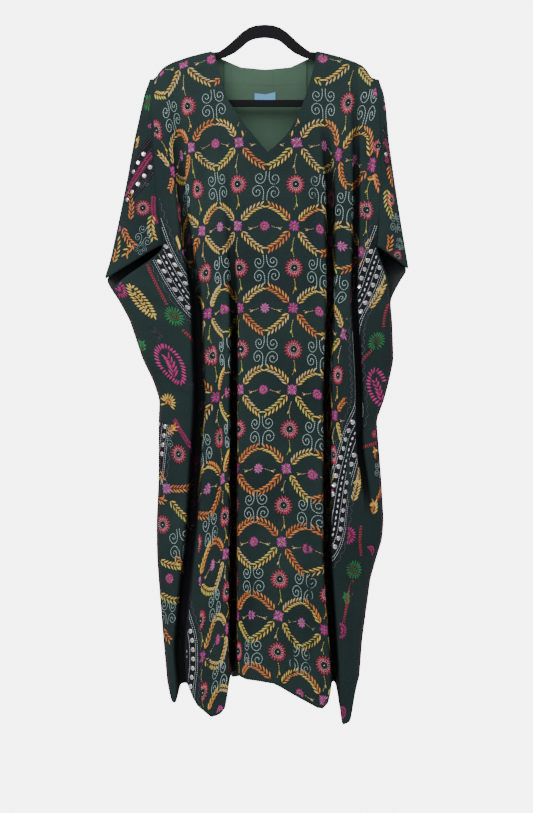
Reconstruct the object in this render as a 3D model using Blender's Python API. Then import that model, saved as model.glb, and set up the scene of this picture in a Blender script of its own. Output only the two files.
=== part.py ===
# Floor-length kaftan with short wing sleeves, hung flat on a slim hanger.
# Metres, +Z up, the garment's front faces -Y, +X is to the right as seen from the front.
# The origin is the middle of the underside of the hanger's arch, where the hanger is held.
# Tables are in millimetres: "across" is x, "drop" is the distance below the origin.
import math
from collections import namedtuple

import bmesh
import bpy
from mathutils import Vector

MM = 0.001

CLOTH_WALL = 1.6 * MM          # embroidered cotton with its lining
FACING_WALL = 1.0 * MM
LABEL_WALL = 0.8 * MM
SEAM_GAP = 0.3 * MM
ARMHOLE_GAP = 0.9 * MM         # the armhole is a curved seam between coarser facets
UNDERARM_GAP = 2.6 * MM        # the slanted seam from the armhole to the cuff's corner
MITRE_LIMIT = 1.7
SHARPEST_BEND = 0.01

SIDE_ROUNDNESS = 2.6           # power of the flattened section, higher is boxier
SLEEVE_ROUNDNESS = 3.0
SLEEVE_TIP = 1.3 * MM          # the outer fold beyond its two sides
SLEEVE_LEAN = 0.3              # how far a sleeve's outside turns to its own side
CUFF_LIP_CURVE = 1.2           # power of the lip's fall towards the outer fold
CUFF_TIP_RISE = 2.0 * MM       # the outer fold ends above the lowest points of the cuff
UNDERARM_STEPS = 30            # of the search for the place where seam and column meet
SHOULDER_ROLL = 25 * MM        # drop over which the cloth rolls off the shoulder seam
CENTRE_WAVE_LENGTH = 112 * MM  # soft waves of the hem's middle
CENTRE_WAVE_DEPTH = 7 * MM

HANGER_THICKNESS = 5.0 * MM
HANGER_EDGE_ROUND = 1.2 * MM
HANGER_SEAT = 2.3 * MM         # the arm's top below the shoulder seam's line
HANGER_ROUND_FROM = math.radians(60)
SMOOTH_BELOW = math.radians(50)

LABEL_SIZE = Vector((44 * MM, 17 * MM))
LABEL_CENTRE = Vector((1 * MM, 122 * MM))
FACING_HALF_WIDTH = 104 * MM
FACING_START = 0.001           # share of the back panel's rows, from the neck down
FACING_END = 0.2

Depth = namedtuple("Depth", "drop half")
HALF_DEPTHS = [
    Depth(27, 12), Depth(100, 24), Depth(250, 42), Depth(450, 60),
    Depth(700, 72), Depth(1000, 80), Depth(1455, 88),
]

# The shoulder seam, the same on both sides, and the two neck lines.
Line = namedtuple("Line", "across drop")
SHOULDER = [
    Line(0, 27), Line(104, 27), Line(125, 31), Line(160, 40), Line(192, 51),
    Line(211, 61), Line(223, 72), Line(233, 86), Line(300, 86),
]
FRONT_NECK = [
    Line(-106, 27), Line(-103.5, 31), Line(-101, 50), Line(-92, 84), Line(-77, 135),
    Line(-40, 193), Line(7, 247), Line(47, 207), Line(79, 148), Line(98, 90), Line(107, 52),
    Line(109, 33), Line(111.5, 28),
]
BACK_NECK = [
    Line(-108, 27), Line(-105.5, 30), Line(-101, 38), Line(-50, 59), Line(2, 64),
    Line(55, 59), Line(102, 38), Line(105, 30.5), Line(107.5, 27),
]

# The side edges: the armhole down to the underarm, the edge of the wing, then the side seam.
Edge = namedtuple("Edge", "drop left left_depth right right_depth")
FRONT_EDGES = [
    Edge(86, -234, 9, 233, 9),
    Edge(142, -237, 20, 244, 20),
    Edge(226, -234, 28, 247, 28),
    Edge(318, -227, 35, 247, 34),
    Edge(373, -221, 36, 241.5, 36),
    Edge(450, -213, 34, 236, 33),
    Edge(476, -247, 29, 246, 25),
    Edge(501, -287, 18, 257, 14),
    Edge(530, -324, 1, 265, 2),
    Edge(555, -308, 0, 266, 0),
    Edge(597, -285, 0, 270, 0),
    Edge(681, -257, 0, 273, 0),
    Edge(723, -236, 0, 264, 0),
    Edge(765, -222, 0, 253, 0),
    Edge(807, -224, 0, 237, 0),
    Edge(933, -224, 0, 247, 0),
    Edge(1017, -228, 0, 252, 0),
    Edge(1059, -228, 0, 249, 0),
    Edge(1101, -227, 0, 236, 0),
    Edge(1143, -224, 0, 224, 0),
    Edge(1269, -214, 0, 207, 0),
    Edge(1370, -205, 0, 199, 0),
]
BACK_EDGES = [
    Edge(86, -234, 9, 233, 9),
    Edge(142, -237, 20, 244, 20),
    Edge(226, -234, 28, 247, 28),
    Edge(318, -227, 35, 247, 34),
    Edge(373, -221, 36, 241.5, 36),
    Edge(398, -218.4, 36, 239.7, 36),
    Edge(430, -252, 34, 262, 31),
    Edge(460, -284, 27, 283, 20),
    Edge(490, -317, 14, 304, 3),
    Edge(509, -337, 2, 290, 1),
    Edge(530, -325, 1, 278, 0),
] + FRONT_EDGES[9:]
# Down to the underarm both panels share one armhole line, which runs on straight inside.
ARMHOLES = FRONT_EDGES[:4] + [Edge(373, -221, 36, 241.5, 36), Edge(520, -205.7, 36, 231, 36)]

# The outer fold of each sleeve.
SleeveFold = namedtuple("SleeveFold", "drop left right")
SLEEVE_FOLDS = [
    SleeveFold(88, -239, 238),
    SleeveFold(114, -251, 250),
    SleeveFold(156, -260, 256),
    SleeveFold(219, -274, 261),
    SleeveFold(303, -289, 273),
    SleeveFold(387, -306, 286),
    SleeveFold(471, -324, 300),
    SleeveFold(509, -337, 306),
]
SLEEVE_TOP = 88 * MM
# The front lip of each cuff and the seam under the sleeve's back, from armhole to outer fold.
Cuff = namedtuple("Cuff", "front_start front_end back_start back_end")
CUFFS = {"left": Cuff(440, 509, 397, 509), "right": Cuff(444, 488, 394, 490)}
SEAM_ENDS = {"left": (218 * MM, 337 * MM), "right": (239 * MM, 304 * MM)}
SLEEVE_STEPS = [0.0, 0.3, 0.55, 0.78, 0.92, 1.0]

# Each deep fold runs down the panel. "share" is how much of the depth it takes up.
FoldKey = namedtuple("FoldKey", "drop across share half_width")
FRONT_FOLDS = [
    [FoldKey(140, -188, 0.15, 15), FoldKey(260, -181, 0.35, 14), FoldKey(429, -163, 0.55, 13),
     FoldKey(555, -142, 0.80, 13), FoldKey(765, -135, 0.86, 13), FoldKey(1017, -151, 0.84, 13),
     FoldKey(1158, -166, 0.84, 13), FoldKey(1290, -178, 0.88, 14), FoldKey(1375, -170, 0.90, 13)],
    [FoldKey(140, -90, 0.0, 9), FoldKey(430, -70, 0.15, 11), FoldKey(597, -63, 0.55, 10),
     FoldKey(723, -64, 0.84, 9), FoldKey(1330, -66, 0.90, 10)],
    [FoldKey(140, 123, 0.0, 13), FoldKey(325, 138, 0.60, 12), FoldKey(555, 138, 0.75, 10),
     FoldKey(723, 131, 0.86, 10), FoldKey(1101, 131, 0.86, 10), FoldKey(1340, 147, 0.90, 9)],
    [FoldKey(90, 190, 0.15, 10), FoldKey(325, 193, 0.50, 9), FoldKey(555, 188, 0.62, 9),
     FoldKey(723, 198, 0.75, 9), FoldKey(870, 199, 0.72, 9), FoldKey(950, 213, 0.50, 9),
     FoldKey(1040, 222, 0.0, 9), FoldKey(1143, 202, 0.0, 9), FoldKey(1370, 180, 0.0, 8)],
]
BACK_FOLDS = [
    [FoldKey(140, -170, 0.10, 14), FoldKey(429, -160, 0.50, 13), FoldKey(765, -146, 0.82, 13),
     FoldKey(1100, -158, 0.80, 14), FoldKey(1375, -150, 0.84, 14)],
    [FoldKey(200, -66, 0.0, 12), FoldKey(520, -58, 0.40, 12), FoldKey(800, -50, 0.74, 11),
     FoldKey(1375, -62, 0.82, 12)],
    [FoldKey(200, 70, 0.0, 12), FoldKey(640, 58, 0.42, 12), FoldKey(900, 52, 0.72, 11),
     FoldKey(1375, 64, 0.80, 12)],
    [FoldKey(140, 160, 0.10, 14), FoldKey(400, 158, 0.50, 12), FoldKey(700, 150, 0.80, 12),
     FoldKey(1080, 142, 0.82, 13), FoldKey(1375, 138, 0.84, 13)],
]
FOLD_COLUMNS = [-1.6, -1.0, -0.45, 0.45, 1.0, 1.6]     # in half widths either side of a fold
FoldShape = namedtuple("FoldShape", "reach fill")
FOLD_SHAPE = [FoldShape(0.0, 1.0), FoldShape(0.45, 1.0), FoldShape(1.0, 0.14), FoldShape(1.6, 0.0)]
FRONT_CELLS = [4, 2, 3, 4, 1, 2]       # cells left of each fold, with the middle line between
BACK_CELLS = [4, 3, 2, 2, 3, 4]
FRONT_MIDDLE = 7 * MM
BACK_MIDDLE = 2 * MM

FRONT_HEM = [
    Line(-210, 1328), Line(-198, 1400), Line(-188, 1406), Line(-178, 1364), Line(-160, 1362),
    Line(-146, 1400), Line(-110, 1427), Line(-82, 1412), Line(-72, 1338), Line(-56, 1336),
    Line(-40, 1346), Line(22, 1354), Line(70, 1384), Line(112, 1408), Line(130, 1410),
    Line(142, 1356), Line(152, 1364), Line(162, 1448), Line(182, 1442), Line(192, 1380),
    Line(203, 1328),
]
BACK_HEM = [
    Line(-210, 1328), Line(-200, 1386), Line(-164, 1352), Line(-136, 1352), Line(-104, 1392),
    Line(-74, 1354), Line(-48, 1350), Line(0, 1372), Line(52, 1350), Line(78, 1354),
    Line(106, 1396), Line(128, 1354), Line(150, 1358), Line(176, 1412), Line(192, 1380),
    Line(203, 1328),
]
# Heights at which the columns' places set where the hem and the neck line are read.
HEM_LEVEL = 1370
NECK_LEVEL = 140

# Rows as shares of the way from the shoulder to the hem, closer where an edge turns.
SHOULDER_ROWS = [0.0, 0.0016, 0.006, 0.018, 0.045, 0.08, 0.12, 0.165, 0.21]
LOWER_ROWS = [
    0.349, 0.3687, 0.4017, 0.435, 0.468, 0.50, 0.534, 0.567, 0.615, 0.666, 0.732, 0.765, 0.798,
    0.831, 0.88, 0.93, 1.0,
]
FRONT_UNDERARM_ROW = 0.25
FRONT_ROWS = SHOULDER_ROWS + [FRONT_UNDERARM_ROW, 0.2855, 0.3066, 0.3263] + LOWER_ROWS
BACK_ROWS = SHOULDER_ROWS + [0.2453, 0.2704, 0.294, 0.3176, 0.3325] + LOWER_ROWS

# The hanger's flat outline on the right: the upper and the lower edge of its arch and arm.
Rim = namedtuple("Rim", "top_x top_z low_x low_z")
ARCH = [
    Rim(0, 28, 0, 0), Rim(18, 26.5, 13, -1), Rim(33, 21.5, 24, -3.5), Rim(48, 11.5, 33, -7.5),
    Rim(60, 0, 40, -13), Rim(71, -10, 50, -22), Rim(84, -21, 63, -32), Rim(97, -29.5, 84, -42),
]
ARM_BAND = 17 * MM
ARM_STATIONS = [112, 135, 160, 182, 198]
ARM_LEAN = 4                   # an arm's lower edge towards the middle from its upper edge
ARM_END = [Rim(207, -66, 191, -71), Rim(214, -76, 198, -79), Rim(217, -87, 201, -87)]
BAR_TOP = 131 * MM
BAR_BOTTOM = 146 * MM
BAR_END = [
    Rim(217, -87.3, 201, -87.3), Rim(215, -104, 199, -102), Rim(207, -125, 193, -116),
    Rim(194, -140, 184, -126), Rim(172, -146, 168, -131),
]

COLOURS = {
    "front_panel": ((0.016, 0.042, 0.045), 0.85),
    "back_panel": ((0.014, 0.036, 0.040), 0.85),
    "sleeve": ((0.018, 0.048, 0.045), 0.85),
    "back_facing": ((0.050, 0.112, 0.068), 0.80),
    "neck_label": ((0.115, 0.347, 0.672), 0.60),
    "hanger": ((0.010, 0.010, 0.011), 0.95),
}


# Value of one column of a table at a place, straight between its rows.
def read(table, column, place):
    key = table[0]._fields[0]
    if place <= getattr(table[0], key):
        return getattr(table[0], column)
    for low, high in zip(table, table[1:]):
        start, end = getattr(low, key), getattr(high, key)
        if place <= end:
            share = (place - start) / (end - start)
            return getattr(low, column) + share * (getattr(high, column) - getattr(low, column))
    return getattr(table[-1], column)


def shoulder_drop(across):
    return read(SHOULDER, "drop", abs(across) / MM) * MM


# How far the cloth has rolled off the shoulder seam, from 0 on the seam to 1 below it.
def shoulder_roll(across, drop):
    return math.sqrt(min(1.0, max(0.0, (drop - shoulder_drop(across)) / SHOULDER_ROLL)))


# The columns of a panel at one height: the side edges, six lines along each fold, the middle.
def column_places(edges, folds, cells, middle, drop):
    groups = [[read(edges, "left", drop / MM) * MM]]
    for index, fold in enumerate(folds):
        across = read(fold, "across", drop / MM) * MM
        width = read(fold, "half_width", drop / MM) * MM
        groups.append([across + step * width for step in FOLD_COLUMNS])
        if index == 1:
            groups.append([middle])
    groups.append([read(edges, "right", drop / MM) * MM])
    places = list(groups[0])
    for count, before, after in zip(cells, groups, groups[1:]):
        start, end = before[-1], after[0]
        places += [start + (end - start) * step / count for step in range(1, count)]
        places += after
    return places


# Distance of a panel's mid surface from the plane between front and back.
def panel_depth(edges, folds, across, drop):
    side = "left" if across < 0 else "right"
    edge = abs(read(edges, side, drop / MM)) * MM
    edge_depth = read(edges, side + "_depth", drop / MM) * MM
    body = read(HALF_DEPTHS, "half", drop / MM) * MM
    reach = min(1.0, abs(across) / edge)
    depth = edge_depth + (body - edge_depth) * (1.0 - reach ** SIDE_ROUNDNESS)
    wave = CENTRE_WAVE_DEPTH * (drop / HEM_LEVEL / MM) ** 2 * (1.0 - reach)
    depth += wave * math.sin(2.0 * math.pi * across / CENTRE_WAVE_LENGTH)
    taken = 0.0
    for fold in folds:
        offset = abs(across - read(fold, "across", drop / MM) * MM)
        reach_in = offset / (read(fold, "half_width", drop / MM) * MM)
        fill = read(FOLD_SHAPE, "fill", reach_in)
        taken = max(taken, read(fold, "share", drop / MM) * fill)
    lift = SEAM_GAP / 2 + CLOTH_WALL / 2
    return lift + shoulder_roll(across, drop) * depth * (1.0 - taken)


def panel_top(neck, across):
    if neck[0].across * MM < across < neck[-1].across * MM:
        return read(neck, "drop", across / MM) * MM
    return shoulder_drop(across)


# Rows of mid-surface points from the shoulder or neck down to the hem.
def panel_grid(facing, edges, folds, cells, middle, neck, hem, rows):
    at_neck = column_places(edges, folds, cells, middle, NECK_LEVEL * MM)
    at_hem = column_places(edges, folds, cells, middle, HEM_LEVEL * MM)
    tops = [panel_top(neck, across) for across in at_neck]
    hems = [read(hem, "drop", across / MM) * MM for across in at_hem]
    grid = []
    for share in rows:
        line = []
        for column, (top, bottom) in enumerate(zip(tops, hems)):
            drop = top + share * (bottom - top)
            across = column_places(edges, folds, cells, middle, drop)[column]
            depth = panel_depth(edges, folds, across, drop)
            line.append(Vector((across, facing * depth, -drop)))
        grid.append(line)
    return grid


# A sleeve's place across, between the armhole at 0 and the outer fold at 1.
def sleeve_across(side, edges, step, drop):
    armhole = read(edges, side, drop / MM) * MM
    outward = -1.0 if side == "left" else 1.0
    armhole += outward * ARMHOLE_GAP
    fold = read(SLEEVE_FOLDS, side, drop / MM) * MM
    return armhole + (fold - armhole) * step


# The lowest point of a sleeve's column: the cuff's lip in front, the seam to the back behind.
def sleeve_bottom(side, facing, step):
    cuff = CUFFS[side]
    if facing < 0:
        return (cuff.front_start + (cuff.front_end - cuff.front_start) * step ** CUFF_LIP_CURVE) * MM
    drop = cuff.back_start * MM
    for _ in range(UNDERARM_STEPS):
        across = abs(sleeve_across(side, ARMHOLES, step, drop))
        start, end = SEAM_ENDS[side]
        along = (across - start) / (end - start)
        drop = (cuff.back_start + (cuff.back_end - cuff.back_start) * along) * MM
        drop -= UNDERARM_GAP
    return drop


# Drops of a sleeve's rows at its armhole, where they meet the rows of the panel beside it.
def armhole_drops(side, facing):
    hem = FRONT_HEM if facing < 0 else BACK_HEM
    top = shoulder_drop(read(FRONT_EDGES, side, NECK_LEVEL) * MM)
    bottom = read(hem, "drop", read(FRONT_EDGES, side, HEM_LEVEL)) * MM
    drops = [top + share * (bottom - top) for share in SHOULDER_ROWS[1:]]
    if facing < 0:
        return drops + [top + FRONT_UNDERARM_ROW * (bottom - top), CUFFS[side].front_start * MM]
    seam = sleeve_bottom(side, facing, 0.0)
    return drops + [(drops[-1] + seam) / 2, seam]


# A sleeve's rows, each running from the front armhole round the outer fold to the back one.
def sleeve_grid(side):
    outward = -1.0 if side == "left" else 1.0
    lift = SEAM_GAP / 2 + CLOTH_WALL / 2
    columns = [(-1.0, step) for step in SLEEVE_STEPS] + [(0.0, 1.0)]
    columns += [(1.0, step) for step in reversed(SLEEVE_STEPS)]
    grid = []
    fore, aft = armhole_drops(side, -1.0), armhole_drops(side, 1.0)
    for row in range(len(fore)):
        line = []
        for facing, step in columns:
            own = aft if facing > 0 else fore
            share = (own[row] - own[0]) / (own[-1] - own[0])
            bottom = sleeve_bottom(side, facing if facing else -1.0, step)
            if step == 1.0:
                bottom = min(CUFFS[side].front_end, CUFFS[side].back_end) * MM - CUFF_TIP_RISE
            drop = SLEEVE_TOP + share * (bottom - SLEEVE_TOP)
            across = sleeve_across(side, ARMHOLES, step, drop)
            armhole = sleeve_across(side, ARMHOLES, 0.0, drop)
            depth = read(ARMHOLES, side + "_depth", drop / MM) * MM
            depth *= shoulder_roll(armhole, drop) * (1.0 - step ** SLEEVE_ROUNDNESS)
            if facing == 0.0:
                across += outward * SLEEVE_TIP
            line.append(Vector((across, facing * (lift + depth), -drop)))
        grid.append(line)
    return grid


# Unit directions in which a grid's two faces part, straight along Y at the seams.
def grid_directions(grid, outwards, seams):
    rows, columns = len(grid), len(grid[0])
    directions = []
    for row in range(rows):
        line = []
        for column in range(columns):
            above, below = grid[max(row - 1, 0)][column], grid[min(row + 1, rows - 1)][column]
            before, after = grid[row][max(column - 1, 0)], grid[row][min(column + 1, columns - 1)]
            normal = (after - before).cross(below - above).normalized()
            if seams(row, column):
                normal = Vector((0.0, math.copysign(1.0, grid[row][column].y), 0.0))
            elif normal.dot(outwards(grid[row][column])) < 0.0:
                normal.negate()
            bend = 1.0
            if not seams(row, column) and 0 < column < columns - 1:
                ahead = (after - grid[row][column]).normalized()
                behind = (grid[row][column] - before).normalized()
                bend = math.sqrt(max(0.0, (1.0 + ahead.dot(behind)) / 2.0))
            line.append(normal * min(MITRE_LIMIT, 1.0 / max(bend, SHARPEST_BEND)))
        directions.append(line)
    return directions


# A closed wall from two sheets of the same grid, joined round the rim.
def wall_from_sheets(name, outer, inner):
    mesh = bpy.data.meshes.new(name)
    shape = bmesh.new()
    rows, columns = len(outer), len(outer[0])
    outside = [[shape.verts.new(point) for point in line] for line in outer]
    inside = [[shape.verts.new(point) for point in line] for line in inner]
    for row in range(rows - 1):
        for column in range(columns - 1):
            for sheet in (outside, inside):
                shape.faces.new((sheet[row][column], sheet[row][column + 1],
                                 sheet[row + 1][column + 1], sheet[row + 1][column]))
    rim = [(0, column) for column in range(columns)]
    rim += [(row, columns - 1) for row in range(1, rows)]
    rim += [(rows - 1, column) for column in range(columns - 2, -1, -1)]
    rim += [(row, 0) for row in range(rows - 2, 0, -1)]
    for here, there in zip(rim, rim[1:] + rim[:1]):
        shape.faces.new((outside[here[0]][here[1]], outside[there[0]][there[1]],
                         inside[there[0]][there[1]], inside[here[0]][here[1]]))
    bmesh.ops.recalc_face_normals(shape, faces=shape.faces)
    bmesh.ops.triangulate(shape, faces=shape.faces)
    shape.to_mesh(mesh)
    shape.free()
    return mesh


def moved(grid, directions, distance):
    return [[point + way * distance for point, way in zip(line, ways)]
            for line, ways in zip(grid, directions)]


def add_object(name, mesh, finish):
    colour, roughness = COLOURS[finish]
    material = bpy.data.materials.new(name + "_finish")
    material.use_nodes = True
    shader = material.node_tree.nodes["Principled BSDF"]
    shader.inputs["Base Color"].default_value = (*colour, 1.0)
    shader.inputs["Roughness"].default_value = roughness
    shader.inputs["Metallic"].default_value = 0.0
    mesh.materials.append(material)
    item = bpy.data.objects.new(name, mesh)
    bpy.context.scene.collection.objects.link(item)
    mesh.shade_smooth()
    mesh.set_sharp_from_angle(angle=SMOOTH_BELOW)
    return item


def add_cloth(name, grid, outwards, seams, finish):
    directions = grid_directions(grid, outwards, seams)
    outer = moved(grid, directions, CLOTH_WALL / 2)
    inner = moved(grid, directions, -CLOTH_WALL / 2)
    add_object(name, wall_from_sheets(name, outer, inner), finish)
    return directions


def add_panels():
    front = panel_grid(-1.0, FRONT_EDGES, FRONT_FOLDS, FRONT_CELLS, FRONT_MIDDLE,
                       FRONT_NECK, FRONT_HEM, FRONT_ROWS)
    back = panel_grid(1.0, BACK_EDGES, BACK_FOLDS, BACK_CELLS, BACK_MIDDLE,
                      BACK_NECK, BACK_HEM, BACK_ROWS)
    last_front, last_back = len(front[0]) - 1, len(back[0]) - 1
    add_cloth("front_panel", front, lambda point: Vector((0, -1, 0)),
              lambda row, column: row == 0 or column in (0, last_front), "front_panel")
    ways = add_cloth("back_panel", back, lambda point: Vector((0, 1, 0)),
                     lambda row, column: row == 0 or column in (0, last_back), "back_panel")
    add_facing_and_label(back, ways)


def add_sleeves():
    for side, outward in (("left", -1.0), ("right", 1.0)):
        grid = sleeve_grid(side)
        middle, last = len(SLEEVE_STEPS), len(grid[0]) - 1
        lowest = len(grid) - 1

        def away(point, outward=outward):
            return Vector((outward * SLEEVE_LEAN, math.copysign(1.0, point.y) if point.y else 0.0, 0))

        def seam(row, column, middle=middle, last=last, lowest=lowest):
            return column in (0, last) or (row in (0, lowest) and column != middle)

        add_cloth("sleeve_" + side, grid, away, seam, "sleeve")


# A point of a grid by its place across and its drop, found in the cell that holds it.
def grid_point(grid, across, drop):
    for upper, lower in zip(grid, grid[1:]):
        for column in range(len(upper) - 1):
            near, far = upper[column], upper[column + 1]
            below, across_below = lower[column], lower[column + 1]
            if near.x <= across <= far.x and below.z <= -drop <= near.z:
                side = (across - near.x) / (far.x - near.x)
                down = (near.z + drop) / (near.z - below.z)
                return near.lerp(far, side).lerp(below.lerp(across_below, side), down)
    raise ValueError("the place lies off the grid")


# The lining that shows inside the back neck: the back panel's own points, moved inwards.
def add_facing_and_label(back, directions):
    columns = [index for index, point in enumerate(back[0]) if abs(point.x) < FACING_HALF_WIDTH]
    rows = [index for index, share in enumerate(BACK_ROWS) if FACING_START < share < FACING_END]

    def patch(distance):
        whole = moved(back, directions, -distance)
        return [[whole[row][column] for column in columns] for row in rows]

    behind = CLOTH_WALL / 2 + SEAM_GAP
    far, near = patch(behind), patch(behind + FACING_WALL)
    add_object("back_facing", wall_from_sheets("back_facing", near, far), "back_facing")

    label = []
    for drop in (LABEL_CENTRE.y - LABEL_SIZE.y / 2, LABEL_CENTRE.y + LABEL_SIZE.y / 2):
        line = []
        for across in (LABEL_CENTRE.x - LABEL_SIZE.x / 2, BACK_MIDDLE,
                       LABEL_CENTRE.x + LABEL_SIZE.x / 2):
            line.append(grid_point(near, across, drop) + Vector((0, -2 * SEAM_GAP, 0)))
        label.append(line)
    nearer = [[point + Vector((0, -LABEL_WALL, 0)) for point in line] for line in label]
    add_object("neck_label", wall_from_sheets("neck_label", nearer, label), "neck_label")


# A flat band between two edges, mirrored about the middle and given its thickness.
def add_band(name, rims):
    outline_top = [Vector((rim.top_x * MM, rim.top_z * MM)) for rim in rims]
    outline_low = [Vector((rim.low_x * MM, rim.low_z * MM)) for rim in rims]
    top = [Vector((-point.x, point.y)) for point in reversed(outline_top[1:])] + outline_top
    low = [Vector((-point.x, point.y)) for point in reversed(outline_low[1:])] + outline_low
    shape = bmesh.new()
    upper = [shape.verts.new((point.x, -HANGER_THICKNESS / 2, point.y)) for point in top]
    lower = [shape.verts.new((point.x, -HANGER_THICKNESS / 2, point.y)) for point in low]
    for index in range(len(top) - 1):
        shape.faces.new((upper[index], lower[index], lower[index + 1], upper[index + 1]))
    made = bmesh.ops.extrude_face_region(shape, geom=shape.faces[:])
    pushed = [item for item in made["geom"] if isinstance(item, bmesh.types.BMVert)]
    bmesh.ops.translate(shape, verts=pushed, vec=(0, HANGER_THICKNESS, 0))
    bmesh.ops.recalc_face_normals(shape, faces=shape.faces)
    mesh = bpy.data.meshes.new(name)
    shape.to_mesh(mesh)
    shape.free()
    item = add_object(name, mesh, "hanger")
    rounding = item.modifiers.new("edge", "BEVEL")
    rounding.width = HANGER_EDGE_ROUND
    rounding.segments = 1
    rounding.limit_method = "ANGLE"
    rounding.angle_limit = HANGER_ROUND_FROM


def add_hanger():
    arms = list(ARCH)
    for across in ARM_STATIONS:
        top = -(shoulder_drop(across * MM) + HANGER_SEAT) / MM
        arms.append(Rim(across, top, across - ARM_LEAN, top - ARM_BAND / MM))
    add_band("hanger", arms + ARM_END)
    bar = [Rim(0, -BAR_BOTTOM / MM, 0, -BAR_TOP / MM)] + list(reversed(BAR_END))
    add_band("hanger_bar", bar)


def clear_scene():
    for item in list(bpy.data.objects):
        bpy.data.objects.remove(item, do_unlink=True)


def main():
    clear_scene()
    add_panels()
    add_sleeves()
    add_hanger()


main()
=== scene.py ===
import math

import bpy
import numpy as np
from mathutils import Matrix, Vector


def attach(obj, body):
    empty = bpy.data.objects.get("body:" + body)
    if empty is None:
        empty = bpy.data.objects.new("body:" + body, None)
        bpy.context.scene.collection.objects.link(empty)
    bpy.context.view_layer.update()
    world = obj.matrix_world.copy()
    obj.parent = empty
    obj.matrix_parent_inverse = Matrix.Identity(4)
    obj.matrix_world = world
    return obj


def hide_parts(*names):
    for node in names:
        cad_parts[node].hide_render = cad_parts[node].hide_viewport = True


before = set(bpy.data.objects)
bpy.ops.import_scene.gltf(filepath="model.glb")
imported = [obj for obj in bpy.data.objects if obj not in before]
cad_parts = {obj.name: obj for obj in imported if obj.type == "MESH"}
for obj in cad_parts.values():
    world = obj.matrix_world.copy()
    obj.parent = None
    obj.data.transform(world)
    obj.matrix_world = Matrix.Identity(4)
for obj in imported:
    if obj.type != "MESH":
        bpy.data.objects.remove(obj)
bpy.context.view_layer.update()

mm = 0.001


# Colours, nodes and pieces

def linear(hexValue):  # an sRGB hex colour as linear light
    parts = [int(hexValue[i:i + 2], 16) / 255 for i in (1, 3, 5)]
    return [p / 12.92 if p <= 0.04045 else ((p + 0.055) / 1.055) ** 2.4 for p in parts] + [1.0]


def addNode(tree, kind, settings=None, links=None):
    node = tree.nodes.new(kind)
    for name, value in (settings or {}).items():
        if isinstance(name, int) or name in node.inputs:
            node.inputs[name].default_value = value
        else:
            setattr(node, name, value)
    for name, source in (links or {}).items():
        tree.links.new(source, node.inputs[name])
    return node


def newMaterial(name, values):
    material = bpy.data.materials.new(name)
    material.use_nodes = True
    shader = material.node_tree.nodes["Principled BSDF"]
    for socket, value in values.items():
        shader.inputs[socket].default_value = value
    return material, material.node_tree, shader


def objectTexture(tree, kind, settings):  # a texture fixed to the piece
    place = addNode(tree, "ShaderNodeTexCoord")
    return addNode(tree, "ShaderNodeTex" + kind, settings, {"Vector": place.outputs["Object"]})


def rampBetween(tree, source, low, high):
    tone = addNode(tree, "ShaderNodeValToRGB", links={"Fac": source})
    for element, colour in zip(tone.color_ramp.elements, (low, high)):
        element.color = linear(colour)
    return tone


def addRelief(tree, shader, height, strength, distance):
    relief = addNode(tree, "ShaderNodeBump", {"Strength": strength, "Distance": distance},
                     {"Height": height})
    tree.links.new(relief.outputs["Normal"], shader.inputs["Normal"])


def newPiece(name, points, faces, *materials, smooth=False):  # a mesh that rides on the body
    mesh = bpy.data.meshes.new(name)
    mesh.from_pydata(np.asarray(points).tolist(), [], faces)
    if smooth:
        mesh.polygons.foreach_set("use_smooth", np.ones(len(faces), bool))
    for material in materials:
        mesh.materials.append(material)
    item = bpy.data.objects.new(name, mesh)
    bpy.context.scene.collection.objects.link(item)
    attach(item, "root")
    return item


def turnsFrom(direction, a, b, c):  # whether the face through three corners turns the other way
    return np.cross(b - a, c - a) @ direction < 0


# Reading a table of the hung cloth: the first column is the drop below the hanger's arch, in mm

dropScale = np.arange(0.0, 1500.0)
acrossScale = np.arange(-360.0, 361.0)


def smoothed(values, blur):
    reach = int(4 * blur)
    weights = np.exp(-0.5 * (np.arange(-reach, reach + 1) / blur) ** 2)
    return np.convolve(np.pad(values, reach, mode="edge"), weights / weights.sum(), "valid")


def smoothColumn(rows, column, blur):  # one column as a smooth curve of the drop
    smooth = smoothed(np.interp(dropScale, [row[0] for row in rows], [row[column] for row in rows]),
                      blur)
    return lambda drop: np.interp(drop, dropScale, smooth)


def lineOf(points, blur):  # a hem, neck or shoulder line, height along the width
    smooth = smoothed(np.interp(acrossScale, [p[0] for p in points], [p[1] for p in points]), blur)
    return lambda place: np.interp(place, acrossScale, smooth)


# The hung shape shared by all the cloth, in mm: x across, drop downwards

hung = {
    "wall": 1.6,
    "seamLift": 0.78,            # of a panel's middle from the plane between front and back
    "shoulderRoll": 25.0,
    "sideRoundness": 2.6,
    "sleeveRoundness": 3.0,
    "hemDrop": 1370.0,
    "edgeBlur": 7,
    "foldBlur": 22,
    "creaseBow": 0.015,
    "waveLength": 112.0,
    "waveDepth": 7.0,
    "halfDepths": [(27, 12), (100, 24), (250, 42), (450, 60), (700, 72), (1000, 80), (1455, 88)],
    "shoulder": [(0, 27), (104, 27), (125, 31), (160, 40), (192, 51), (211, 61), (223, 72),
                 (233, 86), (300, 86)],
}

# The facing inside holds the back neck smooth; little light reaches the walls of a deep fold
calmBack = {"across": (108, 130), "drop": (290, 340), "lift": 1.4}
valley = {"walls": (0.5, 1.5), "share": (0.08, 0.6), "dark": 0.88}

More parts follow.
